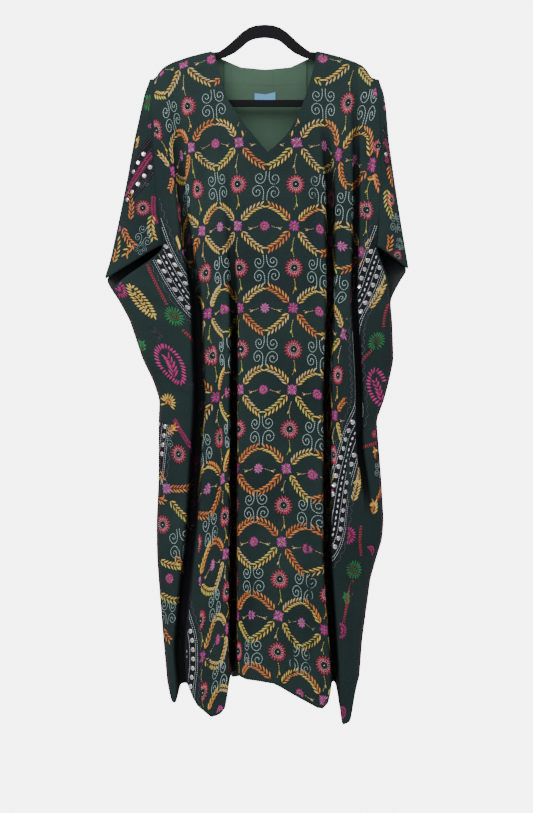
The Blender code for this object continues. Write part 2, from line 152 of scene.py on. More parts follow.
# drop, left edge and its depth, right edge and its depth
frontEdges = [
    (86, -234, 9, 233, 9), (142, -237, 20, 244, 20), (226, -234, 28, 247, 28),
    (318, -227, 35, 247, 34), (373, -221, 36, 241.5, 36), (450, -213, 34, 236, 33),
    (476, -247, 29, 246, 25), (501, -287, 18, 257, 14), (530, -324, 1, 265, 2),
    (555, -308, 0, 266, 0), (597, -285, 0, 270, 0), (681, -257, 0, 273, 0),
    (723, -236, 0, 264, 0), (765, -222, 0, 253, 0), (807, -224, 0, 237, 0),
    (933, -224, 0, 247, 0), (1017, -228, 0, 252, 0), (1059, -228, 0, 249, 0),
    (1101, -227, 0, 236, 0), (1143, -224, 0, 224, 0), (1269, -214, 0, 207, 0),
    (1370, -205, 0, 199, 0),
]
backEdges = frontEdges[:5] + [
    (398, -218.4, 36, 239.7, 36), (430, -252, 34, 262, 31), (460, -284, 27, 283, 20),
    (490, -317, 14, 304, 3), (509, -337, 2, 290, 1), (530, -325, 1, 278, 0),
] + frontEdges[9:]

frontPanel = {
    "name": "frontCloth",
    "node": "front_panel",
    "facing": -1.0,
    "edges": frontEdges,
    "middle": 7.0,
    "cells": [10, 7, 9, 11, 4, 6],
    "folds": [   # drop, across, share of the depth, half width
        [(140, -188, 0.15, 15), (260, -181, 0.35, 14), (429, -163, 0.55, 13),
         (555, -142, 0.80, 13), (765, -135, 0.86, 13), (1017, -151, 0.84, 13),
         (1158, -166, 0.84, 13), (1290, -178, 0.88, 14), (1375, -170, 0.90, 13)],
        [(140, -90, 0.0, 9), (430, -70, 0.15, 11), (597, -63, 0.55, 10),
         (723, -64, 0.84, 9), (1330, -66, 0.90, 10)],
        [(140, 123, 0.0, 13), (325, 138, 0.60, 12), (555, 138, 0.75, 10),
         (723, 131, 0.86, 10), (1101, 131, 0.86, 10), (1340, 147, 0.90, 9)],
        [(90, 190, 0.15, 10), (325, 193, 0.50, 9), (555, 188, 0.62, 9), (723, 198, 0.75, 9),
         (870, 199, 0.72, 9), (950, 213, 0.50, 9), (1040, 222, 0.0, 9), (1143, 202, 0.0, 9),
         (1370, 180, 0.0, 8)],
    ],
    "neck": [(-106, 27), (-103.5, 31), (-101, 50), (-92, 84), (-77, 135), (-40, 193), (7, 247),
             (47, 207), (79, 148), (98, 90), (107, 52), (109, 33), (111.5, 28)],
    "hem": [(-210, 1328), (-198, 1400), (-188, 1406), (-178, 1364), (-160, 1362), (-146, 1400),
            (-110, 1427), (-82, 1412), (-72, 1338), (-56, 1336), (-40, 1346), (22, 1354),
            (70, 1384), (112, 1408), (130, 1410), (142, 1356), (152, 1364), (162, 1448),
            (182, 1442), (192, 1380), (203, 1328)],
    # soft creases: start across, drop, end across, drop, depth (ridge if negative), width
    "creases": [
        (-150, 70, -118, 430, 6, 15), (-203, 120, -196, 420, 5, 9), (92, 170, 104, 520, 6, 17),
        (-32, 290, -24, 700, 5, 20), (62, 330, 74, 860, -5, 21), (24, 690, 4, 1300, 6, 25),
        (86, 960, 94, 1390, 7, 15), (-98, 620, -104, 1180, 6, 10), (-300, 545, -176, 590, 6, 13),
        (-262, 600, -168, 716, 6, 14), (-238, 690, -172, 770, 4, 10), (226, 330, 206, 540, 4, 8),
        (236, 610, 222, 830, 6, 9), (164, 600, 169, 1180, 5, 8), (-190, 800, -203, 1240, 6, 8),
        (-20, 1100, -46, 1330, 6, 13), (50, 1180, 58, 1380, 5, 12), (-112, 1190, -120, 1400, 6, 9),
        (-60, 120, -96, 360, -4, 14), (18, 262, 30, 420, 4, 16), (228, 860, 214, 1010, -5, 9),
        (178, 1060, 172, 1420, 6, 8), (206, 1040, 196, 1300, 4, 8), (-140, 200, -150, 330, -3, 11),
    ],
    "flat": (0.99, 1.42),
    "area": 0.91,
}

backPanel = {
    "name": "backCloth",
    "node": "back_panel",
    "facing": 1.0,
    "edges": backEdges,
    "middle": 2.0,
    "cells": [10, 7, 5, 5, 7, 10],
    "folds": [
        [(140, -170, 0.10, 14), (429, -160, 0.50, 13), (765, -146, 0.82, 13),
         (1100, -158, 0.80, 14), (1375, -150, 0.84, 14)],
        [(200, -66, 0.0, 12), (520, -58, 0.40, 12), (800, -50, 0.74, 11), (1375, -62, 0.82, 12)],
        [(200, 70, 0.0, 12), (640, 58, 0.42, 12), (900, 52, 0.72, 11), (1375, 64, 0.80, 12)],
        [(140, 160, 0.10, 14), (400, 158, 0.50, 12), (700, 150, 0.80, 12),
         (1080, 142, 0.82, 13), (1375, 138, 0.84, 13)],
    ],
    "neck": [(-108, 27), (-105.5, 30), (-101, 38), (-50, 59), (2, 64), (55, 59), (102, 38),
             (105, 30.5), (107.5, 27)],
    "hem": [(-210, 1328), (-200, 1386), (-164, 1352), (-136, 1352), (-104, 1392), (-74, 1354),
            (-48, 1350), (0, 1372), (52, 1350), (78, 1354), (106, 1396), (128, 1354), (150, 1358),
            (176, 1412), (192, 1380), (203, 1328)],
    "creases": [
        (-150, 70, -112, 420, 6, 15), (150, 76, 118, 400, 5, 16), (0, 240, 8, 640, 5, 22),
        (-96, 300, -102, 760, 6, 14), (104, 420, 98, 1000, 6, 13), (18, 700, 6, 1330, 6, 18),
        (-22, 860, -30, 1340, -5, 12), (-205, 600, -176, 720, 6, 11), (-280, 550, -190, 640, 6, 13),
        (-196, 800, -190, 1300, 6, 10), (196, 560, 186, 900, 6, 10), (178, 900, 172, 1340, 6, 9),
        (-112, 900, -108, 1360, 5, 10), (214, 640, 200, 820, 5, 9), (240, 480, 214, 600, 5, 10),
        (-60, 90, -84, 300, -4, 14), (64, 96, 92, 310, 4, 13),
    ],
    "flat": (0.96, 1.42),
    "area": 0.94,
}

foldLines = [-1.6, -1.3, -1.05, -0.85, -0.65, -0.45, -0.22, 0.0,
             0.22, 0.45, 0.65, 0.85, 1.05, 1.3, 1.6]
rowCount = 190

halfDepth = smoothColumn(hung["halfDepths"], 1, 20)
shoulderLine = lineOf([(-x, d) for x, d in reversed(hung["shoulder"][1:])] + hung["shoulder"], 3)


def preparePanel(panel):  # turns a panel's tables into smooth curves
    for column, name in enumerate(("left", "leftDepth", "right", "rightDepth"), 1):
        panel[name] = smoothColumn(panel["edges"], column, hung["edgeBlur"])
    panel["foldCurves"] = [[smoothColumn(fold, column, hung["foldBlur"]) for column in (1, 2, 3)]
                           for fold in panel["folds"]]
    panel["hemLine"] = lineOf(panel["hem"], 2.5)
    panel["neckLine"] = lineOf(panel["neck"], 1.5)


def smoothStep(value, low, high):
    share = np.clip((value - low) / (high - low), 0.0, 1.0)
    return share * share * (3.0 - 2.0 * share)


def shoulderRoll(across, drop):
    return np.sqrt(np.clip((drop - shoulderLine(across)) / hung["shoulderRoll"], 0.0, 1.0))


def creaseDepth(creases, across, drop):  # troughs and ridges that fade at both ends
    total = np.zeros_like(across)
    for startX, startDrop, endX, endDrop, depth, width in creases:
        run = math.hypot(endX - startX, endDrop - startDrop)
        wayX, wayDrop = (endX - startX) / run, (endDrop - startDrop) / run
        share = ((across - startX) * wayX + (drop - startDrop) * wayDrop) / run
        bow = hung["creaseBow"] * run * np.sin(math.pi * np.clip(share, 0, 1))
        aside = (across - startX) * wayDrop - (drop - startDrop) * wayX - bow
        fade = smoothStep(share, 0.0, 0.3) * (1.0 - smoothStep(share, 0.65, 1.0))
        total += depth * fade * np.exp(-(aside / width) ** 2)
    return total


def panelDepth(panel, across, drop):  # distance from the plane between front and back, in mm
    leftSide = across < 0
    edge = np.where(leftSide, -panel["left"](drop), panel["right"](drop))
    edgeDepth = np.where(leftSide, panel["leftDepth"](drop), panel["rightDepth"](drop))
    reach = np.clip(np.abs(across) / edge, 0.0, 1.0)
    depth = edgeDepth + (halfDepth(drop) - edgeDepth) * (1.0 - reach ** hung["sideRoundness"])
    wave = hung["waveDepth"] * (drop / hung["hemDrop"]) ** 2 * (1.0 - reach)
    depth = depth + wave * np.sin(2 * math.pi * across / hung["waveLength"])
    creased = creaseDepth(panel["creases"], across, drop) * (1.0 - reach ** 8)
    calm = ((1.0 - smoothStep(np.abs(across), *calmBack["across"]))
            * (1.0 - smoothStep(drop, *calmBack["drop"])) if panel["facing"] > 0 else 0.0)
    depth = depth - creased * (1.0 - calm) + calmBack["lift"] * calm
    depth = np.maximum(depth * (1.0 - foldShare(panel, across, drop)), 0.0)
    return hung["seamLift"] + shoulderRoll(across, drop) * depth


def foldShare(panel, across, drop, low=0.4, high=1.2):  # how much of the depth the folds take up
    taken = np.zeros_like(across)
    for place, share, width in panel["foldCurves"]:
        offset = np.abs(across - place(drop)) / width(drop)
        taken = np.maximum(taken, share(drop) * (1.0 - smoothStep(offset, low, high)))
    return taken


def foldShade(panel, across, drop):  # light that reaches a place between the walls of a fold
    taken = foldShare(panel, across, drop, *valley["walls"])
    return 1.0 - valley["dark"] * smoothStep(taken, *valley["share"])


def panelColumns(panel, drop):  # places across for every column, at each column's own drop
    groups = [panel["left"](drop)[None, :]]
    for index, (place, _, width) in enumerate(panel["foldCurves"]):
        groups.append(np.array([place(drop) + step * width(drop) for step in foldLines]))
        if index == 1:
            groups.append(np.full((1, len(drop)), panel["middle"]))
    groups.append(panel["right"](drop)[None, :])
    columns = [groups[0][0]]
    for count, before, after in zip(panel["cells"], groups, groups[1:]):
        columns += [before[-1] + (after[0] - before[-1]) * k / count for k in range(1, count)]
        columns += list(after)
    return np.array(columns)


def panelTop(panel, across):
    neck = panel["neck"]
    inside = (across > neck[0][0]) & (across < neck[-1][0])
    return np.where(inside, panel["neckLine"](across), shoulderLine(across))


def panelGrid(panel):  # x, drop and depth of every point of the middle surface
    atNeck = panelColumns(panel, np.full(1, 140.0))[:, 0]
    atHem = panelColumns(panel, np.full(1, hung["hemDrop"]))[:, 0]
    tops, hems = panelTop(panel, atNeck), panel["hemLine"](atHem)
    shares = np.concatenate([[0.0, 0.0007, 0.0016, 0.003], np.linspace(0, 1, rowCount)[1:]])
    drops = tops[None, :] + shares[:, None] * (hems - tops)[None, :]
    across = np.array([panelColumns(panel, row).diagonal() for row in drops])
    return across, drops, panelDepth(panel, across, drops)


# Turning a grid of points into a thin closed shell

def gridNormals(points, outward):
    down = np.gradient(points, axis=0)
    side = np.gradient(points, axis=1)
    normals = np.cross(side, down)
    normals /= np.maximum(np.linalg.norm(normals, axis=2, keepdims=True), 1e-9)
    flip = np.sign((normals * outward).sum(axis=2, keepdims=True))
    return normals * np.where(flip == 0, 1, flip)


def clothUv(points, middleColumn):  # metres along the cloth, from its middle and its top
    steps = np.linalg.norm(np.diff(points, axis=1), axis=2)
    runs = np.concatenate([np.zeros((points.shape[0], 1)), np.cumsum(steps, axis=1)], 1)
    runs -= runs[:, middleColumn:middleColumn + 1]
    return np.stack([runs, points[:, :, 2]], 2)


def makeCloth(name, node, points, normals, middleColumn, shade):  # the right side and the lining
    rows, columns = points.shape[:2]
    outer = (points + normals * hung["wall"] * mm / 2).reshape(-1, 3)
    inner = (points - normals * hung["wall"] * mm / 2).reshape(-1, 3)
    index = np.arange(rows * columns).reshape(rows, columns)
    a, b = index[:-1, :-1].ravel(), index[:-1, 1:].ravel()
    c, d = index[1:, 1:].ravel(), index[1:, :-1].ravel()
    middle = len(a) // 2
    if turnsFrom(normals.reshape(-1, 3)[a[middle]], *(outer[k[middle]] for k in (a, b, d))):
        b, d = d, b
    half = rows * columns
    rim = np.array(list(index[0]) + list(index[1:, -1]) + list(index[-1, -2::-1])
                   + list(index[-2:0:-1, 0]))
    nextRim = np.roll(rim, -1)
    loop = np.stack([nextRim, rim, rim + half, nextRim + half], 1)
    if (a[0], b[0]) not in set(zip(rim, nextRim)):
        loop = loop[:, ::-1]
    faces = np.concatenate([np.stack([a, b, c, d], 1), np.stack([d, c, b, a], 1) + half, loop])
    piece = newPiece(name, np.concatenate([outer, inner]), faces.tolist(), groundCotton,
                     liningCotton, smooth=True)
    slots = np.zeros(len(faces), int)
    slots[len(a):2 * len(a)] = 1
    piece.data.polygons.foreach_set("material_index", slots)
    uvs = np.concatenate([clothUv(points, middleColumn).reshape(-1, 2)] * 2)
    uvLayer = piece.data.uv_layers.new(name="cloth")
    uvLayer.data.foreach_set("uv", uvs[faces.ravel()].ravel())
    light = piece.data.attributes.new("shade", "FLOAT", "POINT")
    light.data.foreach_set("value", np.concatenate([shade, shade]))
    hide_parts(node)
    return piece


def makePanel(panel):
    preparePanel(panel)
    across, drops, depth = panelGrid(panel)
    straight = np.array([0, panel["facing"], 0])
    points = np.stack([across, panel["facing"] * depth, -drops], 2) * mm
    normals = gridNormals(points, straight)
    normals[0], normals[:, 0], normals[:, -1] = straight, straight, straight
    middleColumn = int(np.argmin(np.abs(across[-1] - panel["middle"])))
    return makeCloth(panel["name"], panel["node"], points, normals, middleColumn,
                     foldShade(panel, across, drops).ravel())


# Sleeves: each row runs from the front armhole round the outer fold to the back armhole

sleeves = {
    "sheets": [{"flat": (0.26, 0.43), "area": 0.053}, {"flat": (0.22, 0.4), "area": 0.0345}],
    "top": 88.0,
    "folds": [(88, -239, 238), (114, -251, 250), (156, -260, 256), (219, -274, 261),
              (303, -289, 273), (387, -306, 286), (471, -324, 300), (509, -337, 306)],
    "armholes": frontEdges[:4] + [(373, -221, 36, 241.5, 36), (520, -205.7, 36, 231, 36)],
    "left": {"front": (440, 509), "back": (398, 510), "seam": (218, 337), "column": 1,
             "foldColumn": 1, "outward": -1.0},
    "right": {"front": (444, 488), "back": (396, 491), "seam": (239, 304), "column": 3,
              "foldColumn": 2, "outward": 1.0},
    "rows": 70,
    "steps": 16,
    "settling": 30,
    "tipGap": 2.0,
    "cuffCurve": 1.2,
    "foldRound": 1.3,
    "ripple": (2.2, 31.0, 5.0, 6),      # height, length, turn, and the least depth that has it
}


def sleeveCurves(side):  # the armhole, its depth and the outer fold along the drop
    column = sleeves[side]["column"]
    return (smoothColumn(sleeves["armholes"], column, hung["edgeBlur"]),
            smoothColumn(sleeves["armholes"], column + 1, hung["edgeBlur"]),
            smoothColumn(sleeves["folds"], sleeves[side]["foldColumn"], 10))


def sleeveDepth(armhole, armDepth, step, drop):  # step: 0 at the armhole, 1 at the fold
    depth = armDepth(drop) * shoulderRoll(armhole(drop), drop)
    depth = depth * (1.0 - step ** hung["sleeveRoundness"])
    height, length, turn, least = sleeves["ripple"]
    ripple = height * np.sin(drop / length + step * turn) * step * (1.0 - step) * 4.0
    return hung["seamLift"] + depth + ripple * (depth > least)


def sleeveGrid(side):
    facts = sleeves[side]
    armhole, armDepth, fold = sleeveCurves(side)
    steps = np.sin(np.linspace(0, math.pi / 2, sleeves["steps"]))
    columns = [(-1.0, s) for s in steps] + [(0.0, 1.0)] + [(1.0, s) for s in steps[::-1]]
    shares = np.linspace(0, 1, sleeves["rows"])
    points = np.zeros((len(shares), len(columns), 3))
    tip = min(facts["front"][1], facts["back"][1]) - sleeves["tipGap"]
    seamStart, seamEnd = facts["seam"]
    for column, (facing, step) in enumerate(columns):
        start, end = facts["back"] if facing > 0 else facts["front"]
        bottom = start + (end - start) * step ** sleeves["cuffCurve"]
        if facing > 0:
            for _ in range(sleeves["settling"]):   # on the sloping line of the back's cuff
                across = armhole(bottom) + (fold(bottom) - armhole(bottom)) * step
                bottom = start + (end - start) * ((abs(across) - seamStart) / (seamEnd - seamStart))
        bottom = tip if step == 1.0 else min(bottom, tip + sleeves["tipGap"])
        drops = sleeves["top"] + shares * (bottom - sleeves["top"])
        across = armhole(drops) + (fold(drops) - armhole(drops)) * step
        if facing == 0.0:
            across = across + facts["outward"] * sleeves["foldRound"]
        lift = sleeveDepth(armhole, armDepth, step, drops)
        points[:, column] = np.stack([across, facing * lift, -drops], 1) * mm
    return points, len(steps)


def makeSleeve(side):
    points, tipColumn = sleeveGrid(side)
    away = np.zeros_like(points)
    away[:, :, 0] = sleeves[side]["outward"] * 0.3
    away[:, :, 1] = np.sign(points[:, :, 1])
    normals = gridNormals(points, away)
    normals[:, 0], normals[:, -1] = (0, -1, 0), (0, 1, 0)
    return makeCloth("sleeve" + side.capitalize() + "Cloth", "sleeve_" + side, points, normals,
                     tipColumn, np.ones(points[:, :, 0].size))


# Materials

def makeGroundCotton():  # dyed plain-weave cotton quilted with running stitch: dark, soft, no gloss
    cotton = {"teal": "#1a2b29", "deep": "#0f1b1e", "stitch": "#293d3a", "stitchShare": 0.35,
              "stitchesInMetre": (200.0, 333.0, 1.0)}      # 5 mm long, in rows 3 mm apart
    material, tree, shader = newMaterial("dyedCottonRunningStitch",
                                         {"Roughness": 0.86, "Specular IOR Level": 0.2})
    cloudy = objectTexture(tree, "Noise", {"Scale": 5.0, "Detail": 3.0})
    tone = rampBetween(tree, cloudy.outputs["Fac"], cotton["deep"], cotton["teal"])
    tone.color_ramp.elements[0].position, tone.color_ramp.elements[1].position = 0.35, 0.68
    place = addNode(tree, "ShaderNodeTexCoord")
    stretch = addNode(tree, "ShaderNodeMapping", {"Scale": cotton["stitchesInMetre"]},
                      {"Vector": place.outputs["UV"]})
    rows = addNode(tree, "ShaderNodeTexBrick",
                   {"Scale": 1.0, "Mortar Size": 0.16, "Mortar Smooth": 0.6, "Brick Width": 1.0,
                    "Row Height": 1.0, "offset": 0.5, "Color1": (1, 1, 1, 1),
                    "Color2": (0.6, 0.6, 0.6, 1), "Mortar": (0, 0, 0, 1)},
                   {"Vector": stretch.outputs["Vector"]})
    amount = addNode(tree, "ShaderNodeMath", {"operation": "MULTIPLY", 1: cotton["stitchShare"]},
                     {0: rows.outputs["Color"]})
    blend = addNode(tree, "ShaderNodeMix", {"data_type": "RGBA", "B": linear(cotton["stitch"])},
                    {"Factor": amount.outputs[0], "A": tone.outputs["Color"]})
    light = addNode(tree, "ShaderNodeAttribute", {"attribute_name": "shade"})
    shaded = addNode(tree, "ShaderNodeHueSaturation", {},
                     {"Color": blend.outputs["Result"], "Value": light.outputs["Fac"]})
    tree.links.new(shaded.outputs["Color"], shader.inputs["Base Color"])
    addRelief(tree, shader, rows.outputs["Color"], 0.5, 0.0006)
    return material


def makeLiningCotton():  # plain green cotton lining, a little lighter, with a fine even weave
    lining = {"dark": "#344f3f", "light": "#43604d", "unlinedShaded": "#101a1a", "ends": (-0.33, -0.3)}
    material, tree, shader = newMaterial("plainCottonLining", {"Roughness": 0.8, "Sheen Weight": 0.2})
    cloudy = objectTexture(tree, "Noise", {"Scale": 9.0, "Detail": 4.0})
    tone = rampBetween(tree, cloudy.outputs["Fac"], lining["dark"], lining["light"])
    # the lining ends at the chest: below it the wrong side of the dark cotton shows, painted darker still
    # as the shade deep inside the garment
    place = addNode(tree, "ShaderNodeTexCoord")
    height = addNode(tree, "ShaderNodeSeparateXYZ", {}, {"Vector": place.outputs["Object"]})
    reach = addNode(tree, "ShaderNodeMapRange",
                    {"From Min": lining["ends"][0], "From Max": lining["ends"][1]},
                    {"Value": height.outputs["Z"]})
    lined = addNode(tree, "ShaderNodeMix", {"data_type": "RGBA", "A": linear(lining["unlinedShaded"])},
                    {"Factor": reach.outputs["Result"], "B": tone.outputs["Color"]})
    tree.links.new(lined.outputs["Result"], shader.inputs["Base Color"])
    weave = objectTexture(tree, "Wave", {"Scale": 420.0, "Distortion": 1.5, "Detail": 1.0})
    addRelief(tree, shader, weave.outputs["Fac"], 0.25, 0.0004)
    return material


def makePlain(name, values, kind, settings, colours, relief=None):  # one texture between two colours
    material, tree, shader = newMaterial(name, values)
    texture = objectTexture(tree, kind, settings)
    tone = rampBetween(tree, texture.outputs["Fac"], *colours)
    tree.links.new(tone.outputs["Color"], shader.inputs["Base Color"])
    if relief:
        addRelief(tree, shader, texture.outputs["Fac"], *relief)
    return material


def makeVelvetFlock():  # black flocked plastic: nearly no light back, a soft rim where fibres stand
    values = {"Roughness": 0.95, "Sheen Weight": 0.6, "Sheen Roughness": 0.35,
              "Sheen Tint": linear("#6c6c70"), "Specular IOR Level": 0.15}
    return makePlain("blackVelvetFlock", values, "Noise", {"Scale": 900.0, "Detail": 2.0},
                     ("#0b0b0d", "#1c1c1f"), (0.6, 0.0005))


def makeLabelTape():  # light blue woven tape, satin face, bare
    return makePlain("wovenLabelTape", {"Roughness": 0.55}, "Wave",
                     {"Scale": 700.0, "Distortion": 0.4, "bands_direction": "Z"},
                     ("#4f8dc6", "#6fb0e4"))


def makeMirrorDisc():  # small silvered glass: sharp light with a faint warm tarnish
    return makePlain("silveredMirrorGlass", {"Metallic": 0.85, "Roughness": 0.22}, "Noise",
                     {"Scale": 45.0}, ("#c9b3ba", "#f2f5f8"))


def makeBlackCotton():  # matt black cotton band under the border's lines
    return makePlain("blackCottonBand", {"Roughness": 0.9, "Specular IOR Level": 0.2}, "Noise",
                     {"Scale": 700.0}, ("#0b0c0f", "#17181d"))


def makeStitchThread():  # twisted cotton floss: soft sheen, colour from the thread of each stitch, with the painted shade of deep folds already in it
    material, tree, shader = newMaterial("cottonFlossStitches",
                                         {"Roughness": 0.58, "Specular IOR Level": 0.35})
    colour = addNode(tree, "ShaderNodeAttribute", {"attribute_name": "thread"})
    uneven = objectTexture(tree, "Noise", {"Scale": 160.0, "Detail": 2.0})
    bright = addNode(tree, "ShaderNodeMapRange", {"To Min": 0.72, "To Max": 1.28},
                     {"Value": uneven.outputs["Fac"]})
    tone = addNode(tree, "ShaderNodeHueSaturation", {"Saturation": 1.05},
                   {"Color": colour.outputs["Color"], "Value": bright.outputs["Result"]})
    tree.links.new(tone.outputs["Color"], shader.inputs["Base Color"])
    return material


def dressNodes(finishes):  # CAD pieces whose shape is right keep it and get a finish
    for node, material in finishes.items():
        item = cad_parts[node]
        item.data.materials.clear()
        item.data.materials.append(material)


# Embroidery: every stitch is a small raised lens of thread, laid on the hung cloth.
# A stitch is (u0, v0, u1, v1, width, thread): u along the cloth and v downwards, in mm.

threads = {
    "orange": "#c98045", "amber": "#b56a3c", "gold": "#cbab55", "lime": "#b3ae55",
    "crimson": "#a3324a", "rose": "#cf9aa2", "magenta": "#a52c70", "pink": "#ab629f",
    "violet": "#7c5098", "wine": "#82234d", "mist": "#b2c9c8", "cream": "#b7a372", "white": "#d8dfe3",
    "pale": "#bcc9cc", "mauve": "#5f4f68", "green": "#1f6a3b", "rust": "#8a4634",
    "ink": "#0b0d10", "seam": "#2b4436",
}
threadNames = list(threads)
threadColours = np.array([linear(threads[name]) for name in threadNames])


def stitch(u0, v0, u1, v1, width, thread):
    return (u0, v0, u1, v1, width, threadNames.index(thread))


def rays(count, inner, outer, width, thread, start=0.0, sweep=360.0):
    made = []
    for k in range(count):
        angle = math.radians(start + sweep * k / count)
        c, s = math.cos(angle), math.sin(angle)
        made.append(stitch(c * inner, s * inner, c * outer, s * outer, width, thread))
    return made


def ring(count, radius, width, thread):
    made = []
    for k in range(count):
        a, b = 2 * math.pi * k / count, 2 * math.pi * (k + 0.92) / count
        made.append(stitch(radius * math.cos(a), radius * math.sin(a),
                           radius * math.cos(b), radius * math.sin(b), width, thread))
    return made


def runningLength(line):
    return np.concatenate([[0.0], np.cumsum(np.hypot(*np.diff(line, axis=0).T))])


def pointAt(line, runs, place):
    return np.interp(place, runs, line[:, 0]), np.interp(place, runs, line[:, 1])


def along(points, length, gap, width, thread):  # running stitches along a line
    points = np.array(points, float)
    runs = runningLength(points)
    made, place = [], 0.0
    while place + length * 0.6 < runs[-1]:
        u, v = pointAt(points, runs, [place, min(place + length, runs[-1])])
        made.append(stitch(u[0], v[0], u[1], v[1], width, thread))
        place += length + gap
    return made


def bowed(u0, v0, u1, v1, bow, count=24):  # an arc between two places
    t = np.linspace(0, 1, count)
    run = math.hypot(u1 - u0, v1 - v0) or 1.0
    across, down = -(v1 - v0) / run, (u1 - u0) / run
    lift = bow * np.sin(math.pi * t)
    return np.stack([u0 + (u1 - u0) * t + across * lift, v0 + (v1 - v0) * t + down * lift], 1)


def vine(u0, v0, u1, v1, bow, thread, second=None, leaf=15.0, pitch=8.8, width=3.0):
    line = bowed(u0, v0, u1, v1, bow, 60)
    runs = runningLength(line)
    made = along(line[:-6], 4.5, 0.8, 1.1, "rust")
    spread = runs[-1] - leaf * 0.7
    count = max(2, int(round(spread / pitch)) + 1)
    for k in range(count):
        place = spread * k / (count - 1)
        u, v = pointAt(line, runs, place)
        aheadU, aheadV = pointAt(line, runs, place + 2)
        heading = math.atan2(aheadV - v, aheadU - u)
        size = leaf * (1.0 - 0.15 * (k / count) ** 2)
        for side, shade in ((1, thread), (-1, second or thread)):
            angle = heading + side * math.radians(34)
            c, s = math.cos(angle), math.sin(angle)
            made.append(stitch(u + c, v + s, u + size * c, v + size * s, width, shade))
    return made


def feather(u0, v0, u1, v1, thread):  # a stem with short close barbs
    return vine(u0, v0, u1, v1, 3.0, thread, leaf=6.6, pitch=5.6, width=1.9)


def satinBand(line, half, thread, pitch=3.7):  # close slanting stitches to both sides
    runs = runningLength(line)
    made = []
    for side in (-1, 1):
        edge = offsetLine(line, side * half)
        for place in np.arange(1.0, runs[-1] - 4, pitch):
            made.append(stitch(*pointAt(line, runs, place), *pointAt(edge, runs, place + 3.6),
                               2.7, thread))
    return made


def stem(u0, v0, u1, v1, bow, thread="cream"):  # a fine curved line with one leaf beside it
    line = bowed(u0, v0, u1, v1, bow)
    u, v = line[12]
    heading = math.atan2(v1 - v0, u1 - u0) + 0.35 * (1 if bow > 0 else -1)
    made = along(line, 4.6, 0.2, 1.1, thread)
    return made + [stitch(u, v, u + 9 * math.cos(heading), v + 9 * math.sin(heading), 2.5, thread)]


def smallStar(petal, light):
    made = rays(9, 2.2, 12.0, 2.7, petal, 8) + rays(9, 4.0, 10.5, 1.5, light, 26)
    return made + ring(5, 2.0, 1.4, "cream")


def nodeStar(petal, light):
    made = rays(4, 2.5, 14.5, 2.9, petal, 45) + rays(4, 2.5, 12.5, 2.7, light, 0)
    made += rays(8, 3.0, 12.5, 1.5, petal, 22)
    return made + rays(8, 3.0, 8.0, 1.7, "magenta", 12) + ring(5, 2.0, 1.4, "cream")


def roundRed():
    made = rays(17, 9.6, 20.5, 3.0, "crimson", 0) + rays(17, 8.8, 14.5, 1.3, "rose", 10)
    made += ring(16, 8.2, 1.2, "rose") + ring(12, 5.8, 2.6, "ink") + ring(8, 3.4, 2.4, "ink")
    return made + [stitch(-1.3, 0.2, 1.3, -0.2, 2.4, "white")]


def roundGreen():
    made = rays(18, 10.0, 22.5, 3.0, "green") + rays(18, 8.0, 14.0, 1.6, "green", 10)
    return made + ring(12, 7.5, 1.6, "rust") + rays(8, 1.0, 5.6, 1.8, "green")


curlLine = [(4.0, -32.0), (3.6, -22.0), (4.5, -13.0), (8.0, -6.0), (14.0, -2.5), (20.0, -3.5),
            (25.0, -8.5), (26.5, -15.0), (24.0, -21.5), (18.5, -25.0), (12.8, -22.5),
            (10.8, -17.0), (13.0, -12.0), (17.5, -11.5), (20.0, -15.0), (18.0, -18.0)]


def roundedLine(points, count):  # a smooth line through a few points
    points = np.array(points, float)
    t = np.linspace(0, len(points) - 1, count)
    k = np.clip(t.astype(int), 0, len(points) - 2)
    f = (t - k)[:, None]
    before, after = points[np.maximum(k - 1, 0)], points[np.minimum(k + 2, len(points) - 1)]
    here, there = points[k], points[k + 1]
    return 0.5 * (2 * here + (there - before) * f
                  + (2 * before - 5 * here + 4 * there - after) * f ** 2
                  + (3 * here - before - 3 * there + after) * f ** 3)


def offsetLine(line, distance):
    way = np.gradient(line, axis=0)
    way /= np.linalg.norm(way, axis=1, keepdims=True)
    return line + np.stack([-way[:, 1], way[:, 0]], 1) * distance


def scroll(thread="mist"):
    line = roundedLine(curlLine, 90)
    made = []
    for side, turn, size in ((1, 1, 1.0), (-1, 1, 1.0), (1, -1, 1.12), (-1, -1, 1.12)):
        made += along(line * (side * size, turn * size), 4.4, 0.0, 1.3, thread)
    return made


def paisley(thread, wide=27.0, tall=37.0):  # radiating stitches round a leafy middle
    turn = np.linspace(0, 2 * math.pi, 120)
    pull = ((1 - np.cos(turn)) / 2) ** 3
    line = np.stack([wide * np.sin(turn) * (1 - 0.35 * pull) + 15 * pull,
                     -tall * np.cos(turn)], 1)
    runs = runningLength(line)
    made = []
    for place in np.arange(0, runs[-1] - 3, 6.1):
        u, v = pointAt(line, runs, place)
        aheadU, aheadV = pointAt(line, runs, place + 1)
        out = math.atan2(-(aheadU - u), aheadV - v) + math.radians(14)
        c, s = math.cos(out), math.sin(out)
        made.append(stitch(u - 6 * c, v - 6 * s, u + 6.5 * c, v + 6.5 * s, 3.7, thread))
    return made + vine(3, tall * 0.7, -3, -tall * 0.6, 3, thread, leaf=wide * 0.72, pitch=8.0,
                       width=3.6)


def bloom():  # a dense round flower, stitched from the middle outwards
    return rays(19, 9.0, 21.5, 2.8, "magenta") + rays(10, 1.5, 8.0, 2.5, "magenta", 12)


def sprig(thread, second, tall):  # a dense upright spray of leaves
    made = vine(0, tall, 0, -tall, 2, thread, second, leaf=17.0, pitch=8.4, width=4.0)
    return made + rays(9, 3.0, 12.0, 3.2, thread, 190, 180)


def fan():
    made = rays(11, 10.0, 21.0, 3.0, "magenta", -100, 210)
    return made + rays(8, 2.5, 8.5, 2.4, "magenta", -90, 190) + rays(9, 7.0, 10.5, 1.4, "rust", -80, 170)


